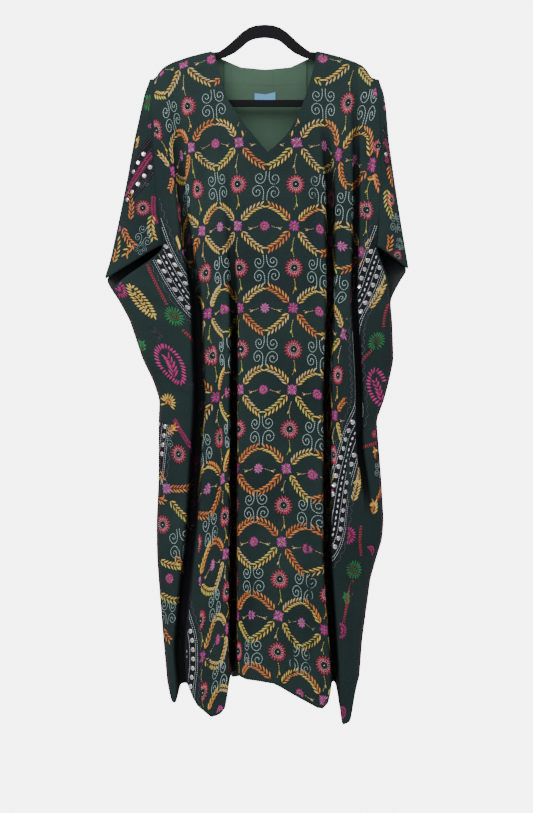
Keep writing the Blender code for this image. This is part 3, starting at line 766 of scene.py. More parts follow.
def sunburst():
    return rays(12, 7.0, 22.0, 3.2, "gold", 150, 250) + rays(8, 1.5, 7.5, 2.4, "orange", 150, 250)


motifs = {
    "star": (smallStar, "magenta", "pink"), "starRed": (smallStar, "crimson", "magenta"),
    "node": (nodeStar, "pink", "violet"), "red": (roundRed,), "green": (roundGreen,),
    "scroll": (scroll,), "scrollDim": (scroll, "mauve"), "paisley": (paisley, "magenta"),
    "paisleySlim": (paisley, "magenta", 19.0, 38.0), "oval": (paisley, "gold", 13.0, 34.0),
    "sprig": (sprig, "gold", "cream", 40.0), "sprigShort": (sprig, "gold", "amber", 18.0),
    "sprigGreen": (sprig, "green", "green", 14.0), "fan": (fan,), "bloom": (bloom,),
    "sun": (sunburst,),
}


def turned(stitches, u, v, degrees=0.0, size=1.0):  # a motif moved to its place
    c, s = math.cos(math.radians(degrees)) * size, math.sin(math.radians(degrees)) * size
    return [(u + a * c - b * s, v + a * s + b * c, u + d * c - e * s, v + d * s + e * c,
             w * size, thread) for a, b, d, e, w, thread in stitches]


# From places on the cloth to the hung cloth

surfaceTable = {"firstDrop": 24.0, "lastDrop": 1470.0, "dropStep": 4.0, "halfRun": 800.0,
                "probe": (0.7, 2)}     # to both sides, for the cloth's slope


def sampleGrid(table, rowPlace, columnPlace):
    rowPlace = np.clip(rowPlace, 0, table.shape[0] - 1.001)
    columnPlace = np.clip(columnPlace, 0, table.shape[1] - 1.001)
    r, c = rowPlace.astype(int), columnPlace.astype(int)
    fr, fc = rowPlace - r, columnPlace - c
    return ((table[r, c] * (1 - fc) + table[r, c + 1] * fc) * (1 - fr)
            + (table[r + 1, c] * (1 - fc) + table[r + 1, c + 1] * fc) * fr)


def makeSurface(depthAt, leftEdge, rightEdge, middle, facing, isOn, shadeAt=None):
    # tables of the way along the cloth for each place across, and back
    first, step, halfRun = (surfaceTable[name] for name in ("firstDrop", "dropStep", "halfRun"))
    drops = np.arange(first, surfaceTable["lastDrop"], step)
    grid = np.repeat(acrossScale[None, :], len(drops), 0)
    inside = np.clip(grid, leftEdge(drops)[:, None], rightEdge(drops)[:, None])
    depths = depthAt(inside.ravel(), np.repeat(drops, len(acrossScale))).reshape(grid.shape)
    steps = np.hypot(np.diff(grid, axis=1), np.diff(depths, axis=1))
    run = np.concatenate([np.zeros((len(drops), 1)), np.cumsum(steps, axis=1)], 1)
    run -= run[:, int(round(middle - acrossScale[0]))][:, None]
    places = np.arange(-halfRun, halfRun + 1.0, 1.0)
    back = np.array([np.interp(places, row, acrossScale) for row in run])
    return {
        "along": lambda x, d: sampleGrid(run, (d - first) / step, x - acrossScale[0]),
        "across": lambda u, d: sampleGrid(back, (d - first) / step, u + halfRun),
        "depth": depthAt, "left": leftEdge, "right": rightEdge, "facing": facing, "isOn": isOn,
        "shade": shadeAt or (lambda x, v: np.ones_like(x)),
    }


def surfacePoint(surface, u, v, lift):  # metres; lift is the height over the cloth's face, in mm
    x = surface["across"](u, v)
    depth = surface["depth"](x, v)
    aside, down = surfaceTable["probe"]
    slopeX = (surface["depth"](x + aside, v) - surface["depth"](x - aside, v)) / (2 * aside)
    slopeV = (surface["depth"](x, v + down) - surface["depth"](x, v - down)) / (2 * down)
    normal = np.stack([-slopeX, np.full_like(x, surface["facing"]), slopeV], -1)
    normal /= np.linalg.norm(normal, axis=-1, keepdims=True)
    base = np.stack([x, surface["facing"] * depth, -v], -1)
    return (base + normal * (hung["wall"] / 2 + lift)[..., None]) * mm


def onCloth(surface, x, v, margin):
    return ((x > surface["left"](v) + margin) & (x < surface["right"](v) - margin)
            & surface["isOn"](x, v))


def lightAt(surface, u, v):
    return surface["shade"](surface["across"](u, v), v)


def alongAt(surface, x, v):  # places across as mm of cloth, each with its drop
    return np.stack([surface["along"](x, v), v], 1)


# A stitch's eight points: share of its length, side, and rise; then its faces
stitchPoints = ((0, 0, 0.1), (0.34, -1, 0), (0.34, 0, 1), (0.34, 1, 0),
                (0.7, -1, 0), (0.7, 0, 1), (0.7, 1, 0), (1, 0, 0.1))
stitchQuads = np.array([(1, 4, 5, 2), (2, 5, 6, 3)])
stitchTips = np.array([(0, 1, 2), (0, 2, 3), (4, 7, 5), (5, 7, 6)])
handWork = {"stray": 0.22, "thinnest": 0.88, "widest": 1.1, "margin": 2.5}


def layStitches(name, surface, stitches, base=0.1, height=0.95):
    data = np.array(stitches, float)
    hand = np.random.default_rng(len(data))     # no two stitches of a hand are the same
    stray = np.clip(data[:, 4:5] / 2 - 0.3, 0.1, 1.6)
    data[:, :4] += hand.normal(0, handWork["stray"], (len(data), 4)) * stray
    data[:, 4] *= hand.uniform(handWork["thinnest"], handWork["widest"], len(data))
    endU, endV = data[:, (0, 2)].T, data[:, (1, 3)].T
    good = onCloth(surface, surface["across"](endU, endV), endV, handWork["margin"]).all(axis=0)
    u0, v0, u1, v1, width, thread = data[good].T
    run = np.maximum(np.hypot(u1 - u0, v1 - v0), 0.1)
    sideU, sideV = -(v1 - v0) / run, (u1 - u0) / run
    u = np.stack([u0 + (u1 - u0) * share + sideU * side * width / 2
                  for share, side, _ in stitchPoints], 1)
    v = np.stack([v0 + (v1 - v0) * share + sideV * side * width / 2
                  for share, side, _ in stitchPoints], 1)
    lifts = np.stack([(base + rise * height) * np.minimum(1, 0.4 + width / 4)
                      for _, _, rise in stitchPoints], 1)
    points = surfacePoint(surface, u, v, lifts).reshape(-1, 3)
    start = (np.arange(len(u)) * len(stitchPoints))[:, None, None]
    quads, tips = (stitchQuads + start).reshape(-1, 4), (stitchTips + start).reshape(-1, 3)
    above = surfacePoint(surface, u[:1, :1], v[:1, :1], np.full((1, 1), 9.0))[0, 0]
    if turnsFrom(above - points[0], *points[quads[0][:3]]):
        quads, tips = quads[:, ::-1], tips[:, ::-1]
    item = newPiece(name, points, quads.tolist() + tips.tolist(), stitchThread)
    colours = threadColours[thread.astype(int)].copy()
    # painted shade: a stitch deep in a fold gets its thread colour darkened
    colours[:, :3] *= lightAt(surface, (u0 + u1) / 2, (v0 + v1) / 2)[:, None]
    colourThreads(item, np.repeat(colours, len(stitchPoints), 0))
    print(name, len(u), "stitches")
    return item


def colourThreads(piece, colours):
    shades = piece.data.attributes.new("thread", "FLOAT_COLOR", "POINT")
    shades.data.foreach_set("color", np.ravel(colours))


# The field: ogees of leafy vines between stars, with round flowers and scrolls between them.
# p counts mm of cloth across the pattern: stars and flowers every 118 mm, scrolls halfway.
# Rows go down by q: even rows carry stars, odd rows flowers and scrolls.

field = {
    "nodeStep": 118.0,
    "firstNode": -56.0,
    "firstRow": -3,
    "rowDrops": [-32, 46, 138, 226, 314, 402, 490, 574, 660, 744, 826, 908, 984, 1060, 1137,
                 1213, 1287, 1360, 1432],
    "above": 46.0,      # from a row of stars up to the vines' tops, and down to their feet
    "below": 52.0,
    "starSize": 0.95,
    "scrollSize": 0.9,
    "sagTurns": (500, 1150),   # drops between which a column's sag goes from high to low
    "rightSide": 90,
    "rightStarts": (110, 260), # and the drops between which it sets in on the right
}

frontField = {
    # drop, then the places across where p is at each value of the first line
    "values": [-292, -233, -174, -115, -56, 3, 62, 121, 180, 239, 298, 357],
    "places": [
        (60, -250, -222, -172, -112, -56, 3, 62, 122, 190, 234, 262, 300),
        (172, -240, -194, -160, -104, -55, 3, 67, 127, 170, 214, 252, 290),
        (240, -208, -176, -156, -102, -54, 4, 68, 125, 158, 192, 232, 270),
        (290, -189, -165, -146, -100, -57, 6, 67, 118, 146, 180, 224, 260),
        (402, -176, -160, -131, -93, -58, -1, 62, 116, 141, 163, 212, 250),
        (492, -170, -150, -121, -91, -52, 4, 63, 112, 136, 156, 196, 235),
        (581, -165, -145, -116, -87, -53, 0, 59, 114, 134, 145, 176, 215),
        (660, -160, -140, -107, -84, -48, 2, 62, 112, 132, 142, 158, 196),
        (744, -152, -133, -98, -79, -52, -3, 58, 109, 130, 138, 150, 182),
        (824, -148, -128, -93, -75, -54, -7, 53, 106, 129, 135, 146, 168),
        (982, -142, -114, -84, -72, -56, -19, 40, 93, 126, 133, 142, 160),
        (1137, -138, -106, -80, -70, -56, -27, 32, 82, 126, 134, 142, 156),
        (1287, -130, -94, -76, -68, -54, -31, 28, 74, 124, 142, 150, 160),
        (1440, -128, -93, -74, -66, -52, -32, 27, 72, 122, 146, 156, 166),
    ],
    # how far a column's rows hang lower than the middle's, at the top and at the hem
    "sag": [(-292, 62, 90), (-233, 25, 50), (-174, 10, 26), (-115, 2, 15), (-56, 0, 0),
            (62, 0, 0), (121, 6, 16), (180, 30, 32), (239, 42, 42), (298, 54, 54),
            (357, 66, 66)],
    # the field's edges: drop, then places across left and right
    "edges": [(0, -232, 232), (330, -236, 240), (377, -202, 236), (430, -183, 222),
              (480, -164, 204), (590, -128, 172), (700, -132, 170), (776, -140, 174),
              (860, -138, 158), (960, -138, 142), (1090, -137, 134), (1240, -134, 136),
              (1460, -130, 144)],
}

backField = {
    "values": [-233, -174, -115, -56, 3, 62, 121, 180, 239],
    "places": [
        (60, -222, -170, -112, -56, 3, 62, 118, 176, 230),
        (300, -210, -160, -106, -54, 3, 62, 112, 166, 214),
        (600, -170, -132, -92, -52, 2, 58, 98, 140, 176),
        (900, -150, -120, -82, -44, 2, 52, 90, 126, 150),
        (1200, -146, -112, -78, -42, 2, 48, 86, 118, 146),
        (1440, -146, -110, -76, -42, 2, 48, 84, 116, 144),
    ],
    "sag": [(-233, 30, 50), (-174, 12, 24), (-56, 0, 0), (62, 0, 0), (180, 12, 26), (239, 30, 52)],
    "edges": [(0, -232, 232), (330, -226, 226), (420, -196, 200), (560, -156, 150),
              (800, -140, 138), (1100, -146, 138), (1460, -150, 140)],
}


def rowDrop(q):
    return field["rowDrops"][q - field["firstRow"]]


def columnOf(rows, column):
    return [row[column] for row in rows]


def fieldMap(design, surface):
    curves = [smoothColumn(design["places"], k + 1, 18) for k in range(len(design["values"]))]
    values = np.array(design["values"], float)
    sagAt, high, low = (columnOf(design["sag"], k) for k in range(3))

    def place(p, d):  # d is the drop in the middle of the field
        share = smoothStep(d, *field["sagTurns"])
        start = np.where(p > field["rightSide"], smoothStep(d, *field["rightStarts"]), 1.0)
        drop = d + (np.interp(p, sagAt, high) * (1 - share) + np.interp(p, sagAt, low) * share) * start
        spans = np.array([surface["along"](curve(drop), drop) for curve in curves])
        k = np.clip(np.searchsorted(values, p) - 1, 0, len(values) - 2)
        ids = np.arange(len(p))
        f = (p - values[k]) / (values[k + 1] - values[k])
        return spans[k, ids] * (1 - f) + spans[k + 1, ids] * f, drop

    return place


def fieldStitches(design, seed):
    pick = np.random.default_rng(seed)
    low, high = design["values"][0], design["values"][-1]
    step, half = field["nodeStep"], field["nodeStep"] / 2
    p = field["firstNode"] - step * math.ceil((field["firstNode"] - low) / step)
    made = []
    pairs = [("orange", "gold"), ("gold", "cream"), ("orange", "amber"), ("lime", "gold")]
    while p <= high + 1:
        for q in range(-2, 16, 2):
            d, below = rowDrop(q), rowDrop(q + 1)
            made += turned(nodeStar(*(("magenta", "violet"), ("pink", "magenta"))[pick.integers(2)]),
                           p, d, pick.uniform(-15, 15), field["starSize"])
            made += turned(smallStar(*(("magenta", "pink"), ("pink", "magenta"))[pick.integers(2)]),
                           p + half, d, pick.uniform(0, 40), field["starSize"])
            for side in (-1, 1):
                made += stem(p + half + side * 13, d, p + half + side * 38, d + 2, side * 3.0)
            for side in (-1, 1):
                arch = (10.5 if q < 1 else 6.0) + pick.uniform(-1.5, 1.5)
                for up, reach, bow in ((-1, field["above"], arch), (1, field["below"], 4.5)):
                    style = pairs[pick.integers(2) if up < 0 else (pick.integers(4) | 1)]
                    if pick.random() < 0.25:
                        style = pairs[2]
                    made += vine(p + side * 10, d + up * 11, p + side * (half - 1.5), d + up * reach,
                                 bow * side * up, *style)
            made += turned(roundRed(), p, below, pick.uniform(0, 20))
            made += turned(scroll(), p + half, below + 1.5, pick.uniform(-4, 4),
                           field["scrollSize"])
            made += stem(p, d + 24, p - 1, below - 22, 3.5, ("cream", "lime")[pick.integers(2)])
            made += stem(p, below + 22, p - 2, below + 54, -4.0, ("lime", "gold")[pick.integers(2)])
        p += step
    return made


def onTheField(design, surface, stitches):  # field stitches moved to their place on the cloth
    place = fieldMap(design, surface)
    data = np.array(stitches, float)
    u0, v0 = place(data[:, 0], data[:, 1])
    u1, v1 = place(data[:, 2], data[:, 3])
    v = (v0 + v1) / 2
    x = surface["across"]((u0 + u1) / 2, v)
    drops, left, right = (columnOf(design["edges"], k) for k in range(3))
    keep = (x > np.interp(v, drops, left)) & (x < np.interp(v, drops, right))
    inRange = (data[:, 0] > design["values"][0] - 30) & (data[:, 0] < design["values"][-1] + 30)
    return np.stack([u0, v0, u1, v1, data[:, 4], data[:, 5]], 1)[keep & inRange].tolist()


# The borders: black bands with mirror discs and white lines, each given by its middle line

frontBorders = [
    [(-262, 330), (-247, 377), (-207, 474), (-161, 556), (-144, 612), (-137, 680), (-135, 765),
     (-143, 880), (-153, 1000), (-160, 1090), (-161, 1180), (-161, 1280), (-158, 1440)],
    [(262, 390), (248, 430), (222, 500), (200, 560), (189, 620), (192, 700), (195, 776),
     (188, 830), (170, 892), (156, 960), (145, 1040), (137, 1110), (133, 1190), (138, 1290),
     (147, 1440)],
    [(-219, 800), (-225, 850), (-232, 900), (-242, 960)],
]
backBorders = [
    [(-250, 330), (-214, 440), (-176, 560), (-160, 700), (-152, 900), (-160, 1100), (-158, 1440)],
    [(250, 330), (216, 440), (172, 560), (156, 700), (146, 900), (150, 1100), (150, 1440)],
]
border = {
    "width": 58.0,
    "lines": [-27.0, -22.5, -8.0, 8.0, 22.5, 27.0],
    "discRows": [(-15.2, 6.0), (15.2, 15.0)],     # distance from the middle, and the first place
    "discStep": 19.5,
    "discRadius": 5.0,
    "discLight": 0.6,            # of the full light: mirrors and lines in darker valleys are left out
    "lineLight": 0.55,
    "scallop": (32.0, 39.0),
    "scallopStep": 17.0,
    "bandPoints": 13,
    "bandLift": 0.35,
    "bandMargin": 2,
    "discMargin": 7,
    "discDome": ((0.72, 1.3), (1.0, 0.2)),      # share of the radius, and height
    "discTop": 1.5,
    "edgeDrops": (530.0, 1440.0, 6.0),
    "edgeInset": 5.0,
    "dash": (7.6, 4.4, 2.9),     # length, gap and width of the middle's thick stitches
}


def borderLine(surface, places, step=4.0):  # the middle line in mm of cloth, evenly stepped
    flat = alongAt(surface, *roundedLine(places, 30 * len(places)).T)
    for _ in range(2):
        runs = runningLength(flat)
        stops = pointAt(flat, runs, np.arange(0, runs[-1], step))
        flat = np.stack([np.convolve(np.pad(column, 6, "edge"), np.ones(13) / 13, "valid")
                         for column in stops], 1)
    return flat


def linesBeside(line, distances, *how):
    return [made for distance in distances for made in along(offsetLine(line, distance), *how)]


def borderStitches(line):
    made = linesBeside(line, border["lines"], 4.4, 0.1, 1.05, "pale")
    made += along(offsetLine(line, 0.0), *border["dash"], "white")
    for side in (-1, 1):
        foot, crest = (offsetLine(line, side * distance) for distance in border["scallop"])
        wave = np.abs(np.sin(np.arange(len(line)) * 4.0 * math.pi / border["scallopStep"]))
        made += along(foot + (crest - foot) * wave[:, None], 3.6, 0.8, 1.2, "mauve")
    return made


def discPlaces(line, rows, step):  # rows: distance from the middle line, and the first place
    made = []
    for distance, first in rows:
        row = offsetLine(line, distance)
        runs = runningLength(row)
        made += list(zip(*pointAt(row, runs, np.arange(first, runs[-1], step))))
    return made


def makeBand(name, surface, line):
    half = border["width"] / 2
    rows = np.array([offsetLine(line, distance)
                     for distance in np.linspace(-half, half, border["bandPoints"])])
    u, v = rows[..., 0], rows[..., 1]
    points = surfacePoint(surface, u, v, np.full(u.shape, border["bandLift"])).reshape(-1, 3)
    on = onCloth(surface, surface["across"](u, v), v, border["bandMargin"])
    index = np.arange(u.size).reshape(u.shape)
    cells = np.stack([index[:-1, :-1], index[:-1, 1:], index[1:, 1:], index[1:, :-1]], -1)
    cells = cells[on[:-1, :-1] & on[:-1, 1:] & on[1:, 1:] & on[1:, :-1]].reshape(-1, 4)
    if turnsFrom((0, surface["facing"], 0), *points[cells[0][:3]]):
        cells = cells[:, ::-1]
    return newPiece(name, points, cells.tolist(), blackCotton, smooth=True)


def makeDiscs(name, surface, places, sides=12):  # small round mirrors, slightly domed
    places = np.array(places, float)
    x = surface["across"](*places.T)
    places = places[onCloth(surface, x, places[:, 1], border["discMargin"])
                    & (surface["shade"](x, places[:, 1]) > border["discLight"])]
    if not len(places):
        print(name, "not needed here")
        return []
    u, v, lift = [places[:, 0]], [places[:, 1]], [border["discTop"]]
    for share, rise in border["discDome"]:
        for turn in np.arange(sides) * 2 * math.pi / sides:
            u.append(places[:, 0] + border["discRadius"] * share * math.cos(turn))
            v.append(places[:, 1] + border["discRadius"] * share * math.sin(turn))
            lift.append(rise)
    points = surfacePoint(surface, np.stack(u, 1), np.stack(v, 1),
                          np.repeat([lift], len(places), 0)).reshape(-1, 3)
    fans = [(0, 1 + k, 1 + (k + 1) % sides) for k in range(sides)]
    walls = [(1 + k, 1 + sides + k, 1 + sides + (k + 1) % sides, 1 + (k + 1) % sides)
             for k in range(sides)]
    turn = -1 if turnsFrom((0, surface["facing"], 0), *points[:3]) else 1
    faces = [[start + k for k in face][::turn]
             for start in np.arange(len(places)) * (1 + 2 * sides) for face in fans + walls]
    print(name, len(places), "discs")
    return [newPiece(name, points, faces, mirrorDisc)]


frontMotifs = [   # motif, place across, drop, turn in degrees, size
    ("paisley", -198, 691, 0, 1.05), ("oval", -260, 559, -6, 1.0), ("green", -189, 590, 0, 1.0),
    ("bloom", -309, 530, -20, 1.0), ("sun", -203, 772, 20, 1.0), ("scrollDim", -226, 628, 60, 0.45),
    ("sprigGreen", -259, 650, 20, 0.9), ("scrollDim", -156, 736, 20, 0.3), ("red", -180, 879, 0, 1.0),
    ("scroll", -207, 849, 0, 0.55), ("sprigShort", -194, 824, 60, 0.6), ("star", -146, 894, 0, 1.1),
    ("starRed", -149, 912, 0, 0.7), ("node", -206, 952, 0, 1.0), ("star", -154, 984, 0, 0.9),
    ("red", -214, 1028, 0, 1.0), ("scroll", -177, 1066, -12, 0.98), ("star", -199, 1141, 0, 1.0),
    ("scroll", -203, 1211, 5, 0.75), ("green", 235, 642, 0, 0.95), ("paisleySlim", 238, 746, -10, 1.15),
    ("starRed", 232, 837, 0, 0.8), ("sprigShort", 234, 877, 0, 0.75), ("scroll", 243, 912, 0, 0.5),
    ("sprigShort", 230, 990, 10, 0.9), ("fan", 222, 1083, -30, 0.6), ("sprig", 194, 942, 12, 0.9),
    ("fan", 173, 1049, 0, 0.95), ("green", 188, 1122, 0, 0.95), ("fan", 159, 1248, 10, 0.85),
    ("fan", 161, 1421, 0, 0.7), ("sprigGreen", 171, 1181, 0, 1.0), ("sprig", 241, 538, 24, 0.95),
    ("red", 238, 232, 0, 0.75), ("star", 236, 117, 0, 0.85), ("sprigShort", 225, 299, 80, 0.5),
]
frontVines = [   # kind, start across and drop, end across and drop
    ("feather", -246, 480, -204, 566), ("feather", -172, 618, -146, 660),
    ("trail", -190, 805, -144, 904), ("orange", -201, 952, -150, 938), ("lime", -198, 978, -150, 1036),
    ("orange", -207, 831, -182, 816), ("lime", -225, 1101, -173, 1114),
    ("gold", -186, 1093, -169, 1127), ("lime", -219, 1175, -180, 1185),
    ("orange", -215, 1238, -196, 1274), ("orange", -224, 975, -209, 969),
    ("gold", -222, 896, -211, 938), ("feather", 226, 660, 203, 707), ("feather", 261, 562, 251, 612),
    ("orange", 236, 980, 251, 938), ("feather", 203, 866, 249, 849),
    ("feather", 203, 1028, 203, 1093), ("feather", 186, 1143, 169, 1211),
    ("feather", 184, 1169, 165, 1232),
]
backMotifs = [
    ("paisley", -206, 640, 10, 1.0), ("green", -196, 772, 0, 1.0), ("sprig", -268, 575, 8, 0.85),
    ("fan", -300, 532, 20, 0.8), ("red", -186, 900, 0, 1.0), ("sun", -204, 1000, 0, 0.9),
    ("scroll", -192, 1110, 8, 0.8), ("green", -190, 1220, 0, 0.9), ("star", -188, 1310, 0, 1.0),
    ("paisley", 214, 660, -10, 1.0), ("green", 228, 560, 0, 0.95), ("sprig", 200, 800, -10, 0.9),
    ("fan", 196, 930, 0, 0.95), ("sun", 200, 1040, 40, 0.9), ("green", 194, 1130, 0, 0.9),
    ("red", 180, 1230, 0, 1.0), ("fan", 172, 1340, 0, 0.8), ("star", 238, 470, 0, 0.9),
    ("star", -236, 470, 0, 0.9),
]
backVines = [
    ("feather", -240, 500, -214, 590), ("feather", -196, 690, -190, 745),
    ("feather", 250, 600, 232, 700), ("feather", 212, 720, 198, 770),
    ("trail", -196, 820, -182, 870), ("gold", -200, 1050, -196, 1090), ("orange", 196, 1080, 200, 1110),
]
sleeveWork = {
    "lines": (-26.0, -21.0, -7.5, 7.5, 21.0, 26.0),
    "discRows": ((-14.0, 2.0), (14.0, 12.0)),
    "discStep": 22.0,
    "left": {
        "motifs": [("green", -242, 140, 0, 0.85), ("red", -255, 363, 0, 0.85),
                   ("scroll", -251, 419, 25, 0.6), ("sprigShort", -270, 222, 10, 0.75),
                   ("scroll", -254, 309, 70, 0.35), ("star", -306, 404, 0, 0.6),
                   ("scroll", -259, 446, 60, 0.4), ("starRed", -236, 470, 0, 0.6),
                   ("star", -240, 190, 0, 0.5)],
        "vines": [("orange", -282, 387, -284, 324), ("orange", -297, 402, -270, 444),
                  ("lime", -235, 377, -230, 432), ("trail", -232, 337, -226, 400),
                  ("gold", -318, 476, -310, 421), ("gold", -276, 444, -293, 466)],
        "band": [(-222, 232), (-244, 258), (-272, 300), (-300, 342)],
    },
    "right": {
        "motifs": [("red", 266, 345, 0, 0.7), ("scroll", 276, 392, 0, 0.6),
                   ("starRed", 257, 261, 0, 0.7), ("red", 280, 462, 0, 0.6),
                   ("scroll", 285, 436, 10, 0.4), ("star", 252, 150, 0, 0.6)],
        "vines": [("lime", 257, 324, 268, 383), ("orange", 262, 272, 270, 314),
                  ("orange", 297, 429, 287, 375), ("orange", 253, 461, 263, 419)],
        "band": [(240, 196), (254, 226), (268, 262), (280, 292)],
    },
}


vineThreads = {"orange": "amber", "gold": "orange", "lime": "gold"}


def placed(surface, pieces, vines):  # motifs set at places of the hung cloth
    made = []
    for kind, x, d, degrees, size in pieces:
        u = float(surface["along"](np.array([float(x)]), np.array([float(d)]))[0])
        draw, *details = motifs[kind]
        made += turned(draw(*details), u, d, degrees, size)
    for kind, x0, d0, x1, d1 in vines:
        u0, u1 = surface["along"](np.array([float(x0), x1]), np.array([float(d0), d1]))
        if kind == "feather":
            made += feather(u0, d0, u1, d1, "crimson")
        elif kind == "trail":
            made += satinBand(bowed(u0, d0, u1, d1, 4), 5.4, "wine")
        else:
            made += vine(u0, d0, u1, d1, 5, kind, vineThreads[kind])
    return made


def panelSurface(panel):
    def isOn(x, v):
        return (v > panelTop(panel, x) + 5) & (v < panel["hemLine"](x) - 5)
    return makeSurface(lambda x, v: panelDepth(panel, x, v), panel["left"], panel["right"],
                       panel["middle"], panel["facing"], isOn,
                       lambda x, v: foldShade(panel, x, v))


def sleeveSurface(side, facing):
    armhole, armDepth, fold = sleeveCurves(side)
    start, end = sleeves[side]["front" if facing < 0 else "back"]

    def stepOf(x, v):
        return np.clip((x - armhole(v)) / (fold(v) - armhole(v)), 0.0, 1.0)

    def depthAt(x, v):
        return sleeveDepth(armhole, armDepth, stepOf(x, v), v)

    def isOn(x, v):
        return (v > sleeves["top"] + 6) & (v < start + (end - start) * stepOf(x, v) - 5)

    low, high = (fold, armhole) if side == "left" else (armhole, fold)
    return makeSurface(depthAt, low, high, sleeves[side]["outward"] * 250, facing, isOn)


def dressPanel(panel, design, seed, pieces, vines, borders, prefix):
    surface = panelSurface(panel)
    stitches = onTheField(design, surface, fieldStitches(design, seed))
    stitches += placed(surface, pieces, vines)
    made = [layStitches(prefix + "Embroidery", surface, stitches)]
    lines, discs = [], []
    for k, places in enumerate(borders):
        line = borderLine(surface, places)
        made.append(makeBand(prefix + "BorderBand" + str(k + 1), surface, line))
        lines += borderStitches(line)
        discs += discPlaces(line, border["discRows"], border["discStep"])
    drops = np.arange(*border["edgeDrops"])
    for edge, inward in ((surface["left"], border["edgeInset"]),
                         (surface["right"], -border["edgeInset"])):
        lines += along(alongAt(surface, edge(drops) + inward, drops), 3.6, 2.6, 1.3, "wine")
    lines = np.array(lines, float)      # those that aren't down in a narrow valley are laid
    light = lightAt(surface, (lines[:, 0] + lines[:, 2]) / 2, (lines[:, 1] + lines[:, 3]) / 2)
    lines = lines[light > border["lineLight"]]
    made.append(layStitches(prefix + "BorderStitches", surface, lines, 0.5, 0.8))
    return made + makeDiscs(prefix + "MirrorDiscs", surface, discs)


def dressSleeve(side, facing, prefix):
    surface, plan = sleeveSurface(side, facing), sleeveWork[side]
    line = alongAt(surface, *roundedLine(plan["band"], 40).T)
    stitches = placed(surface, plan["motifs"], plan["vines"])
    trail = satinBand(line[3:-3], 6.4, "wine")
    trail += linesBeside(line, sleeveWork["lines"], 4.0, 1.0, 0.9, "mauve")
    discs = discPlaces(line, sleeveWork["discRows"], sleeveWork["discStep"])
    return [makeBand(prefix + "Band", surface, line),
            layStitches(prefix + "Embroidery", surface, stitches),
            layStitches(prefix + "Trail", surface, trail, 0.5, 0.8),
            *makeDiscs(prefix + "MirrorDiscs", surface, discs)]


seams = {"length": 3.2, "gap": 1.6, "half": 0.45, "flat": 0.1, "raised": 0.5}


def sewLining(lines):  # the facing's sewn edge and its seams, seen through the neck
    facing = bpy.data.objects["back_facing"]
    toFacing = facing.matrix_world.inverted()
    inward = toFacing.to_3x3() @ Vector((0, 1, 0))
    points, faces = [], []
    flat, raised = seams["flat"], seams["raised"]
    stitches = [s for line in lines for s in along(line, seams["length"], seams["gap"], 1.0, "seam")]
    for u0, v0, u1, v1, _, _ in stitches:
        run = math.hypot(u1 - u0, v1 - v0)
        sideU, sideV = -(v1 - v0) / run * seams["half"], (u1 - u0) / run * seams["half"]
        middleU, middleV = (u0 + u1) / 2, (v0 + v1) / 2
        laid = []
        for x, v, lift in ((u0, v0, flat), (middleU + sideU, middleV + sideV, flat), (u1, v1, flat),
                           (middleU - sideU, middleV - sideV, flat), (middleU, middleV, raised)):
            hit, where, _, _ = facing.ray_cast(toFacing @ Vector((x * mm, -0.2, -v * mm)), inward)
            if hit:
                laid.append(tuple(facing.matrix_world @ where - Vector((0, lift * mm, 0))))
        if len(laid) == 5:
            k = len(points)
            points += laid
            faces += [(k + a, k + b, k + 4) for a, b in ((0, 1), (1, 2), (2, 3), (3, 0))]
    item = newPiece("liningSeams", points, faces, stitchThread)
    colourThreads(item, linear(threads["seam"]) * len(points))
    print("liningSeams", len(faces) // 4, "stitches")
    return item


# Light, floor and camera

studio = {
    "floorDrop": 2.05,
    "floorRadius": 2.2,
    "surround": 6.0,
    "fill": 0.34,
    "aim": (0, 0, -0.35),
    "lamps": [("keyPanel", (-1.1, -2.1, 1.5), 2.0, 92), ("fillPanel", (1.5, -2.8, 1.2), 1.6, 30),
              ("sidePanelLeft", (-2.6, -0.9, 0.5), 1.0, 34),
              ("sidePanelRight", (2.6, -0.9, 0.5), 1.0, 34),
              ("backPanel", (0.6, 2.8, 1.4), 1.8, 100)],
}


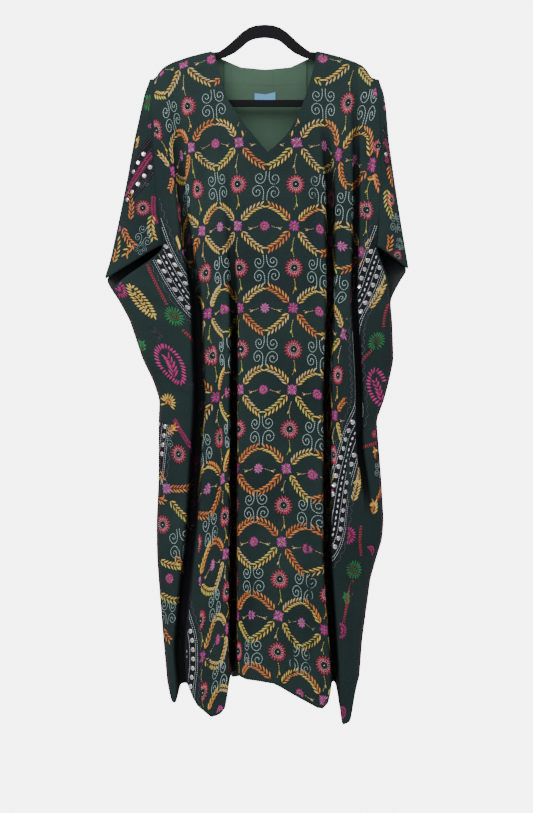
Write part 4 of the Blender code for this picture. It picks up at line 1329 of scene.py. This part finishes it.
def makeStudio():
    bpy.ops.mesh.primitive_cylinder_add(vertices=96, radius=studio["floorRadius"], depth=0.02,
                                        location=(0, 0, -studio["floorDrop"] - 0.01))
    floor = bpy.context.object
    floor.name = "paleFloor"
    values = {"Roughness": 0.9, "Base Color": linear("#f4f4f4")}
    floor.data.materials.append(newMaterial("palePaintedFloor", values)[0])
    floor.select_set(False)

    # the surround is white where it is seen and gives a weaker, even light
    world = bpy.data.worlds.new("softWhite")
    bpy.context.scene.world = world
    world.use_nodes = True
    tree = world.node_tree
    seen = addNode(tree, "ShaderNodeLightPath")
    strength = addNode(tree, "ShaderNodeMapRange",
                       {"To Min": studio["fill"], "To Max": studio["surround"]},
                       {"Value": seen.outputs["Is Camera Ray"]})
    sky = tree.nodes["Background"]
    sky.inputs["Color"].default_value = (1, 1, 1, 1)
    tree.links.new(strength.outputs["Result"], sky.inputs["Strength"])
    for name, place, size, power in studio["lamps"]:
        light = bpy.data.lights.new(name, "AREA")
        light.size, light.energy = size, power
        lamp = bpy.data.objects.new(name, light)
        lamp.location = place
        aim = np.array(studio["aim"]) - np.array(place)
        lamp.rotation_euler = (math.atan2(math.hypot(aim[0], aim[1]), -aim[2]), 0,
                               math.atan2(aim[1], aim[0]) - math.pi / 2)
        bpy.context.scene.collection.objects.link(lamp)


view = {"widthPx": 533, "heightPx": 813, "mmForPx": 2.1, "originPx": (264.5, 35.5),
        "distance": 4.6, "sensor": 36.0, "planeY": -0.03}


def makeCamera():
    camera = bpy.data.cameras.new("photoView")
    camera.sensor_fit = "VERTICAL"
    camera.sensor_height = view["sensor"]
    camera.lens = view["sensor"] * view["distance"] / (view["heightPx"] * view["mmForPx"] * mm)
    holder = bpy.data.objects.new("photoView", camera)
    x = (view["widthPx"] / 2 - view["originPx"][0]) * view["mmForPx"] * mm
    z = -(view["heightPx"] / 2 - view["originPx"][1]) * view["mmForPx"] * mm
    holder.location = (x, view["planeY"] - view["distance"], z)
    holder.rotation_euler = (math.pi / 2, 0, 0)
    bpy.context.scene.collection.objects.link(holder)
    bpy.context.scene.camera = holder


makeCamera()
makeStudio()
groundCotton, liningCotton = makeGroundCotton(), makeLiningCotton()
dressNodes({"hanger": makeVelvetFlock(), "hanger_bar": makeVelvetFlock(),
            "back_facing": liningCotton, "neck_label": makeLabelTape()})
print("studio and finishes made")

frontCloth, backCloth = makePanel(frontPanel), makePanel(backPanel)
sleeveCloths = [makeSleeve("left"), makeSleeve("right")]
print("cloth made")

stitchThread, mirrorDisc, blackCotton = makeStitchThread(), makeMirrorDisc(), makeBlackCotton()
work = {frontCloth: dressPanel(frontPanel, frontField, 3, frontMotifs, frontVines, frontBorders, "front"),
        backCloth: dressPanel(backPanel, backField, 5, backMotifs, backVines, backBorders, "back")}
for side, cloth in zip(("left", "right"), sleeveCloths):
    work[cloth] = (dressSleeve(side, -1.0, side + "SleeveFront")
                   + dressSleeve(side, 1.0, side + "SleeveBack"))
work[backCloth].append(sewLining([bowed(-98, 92, 99, 92, 5), bowed(19, 50, 20, 200, 0.6),
                                  bowed(-70, 62, -68, 92, 0.4)]))
print("embroidery made")
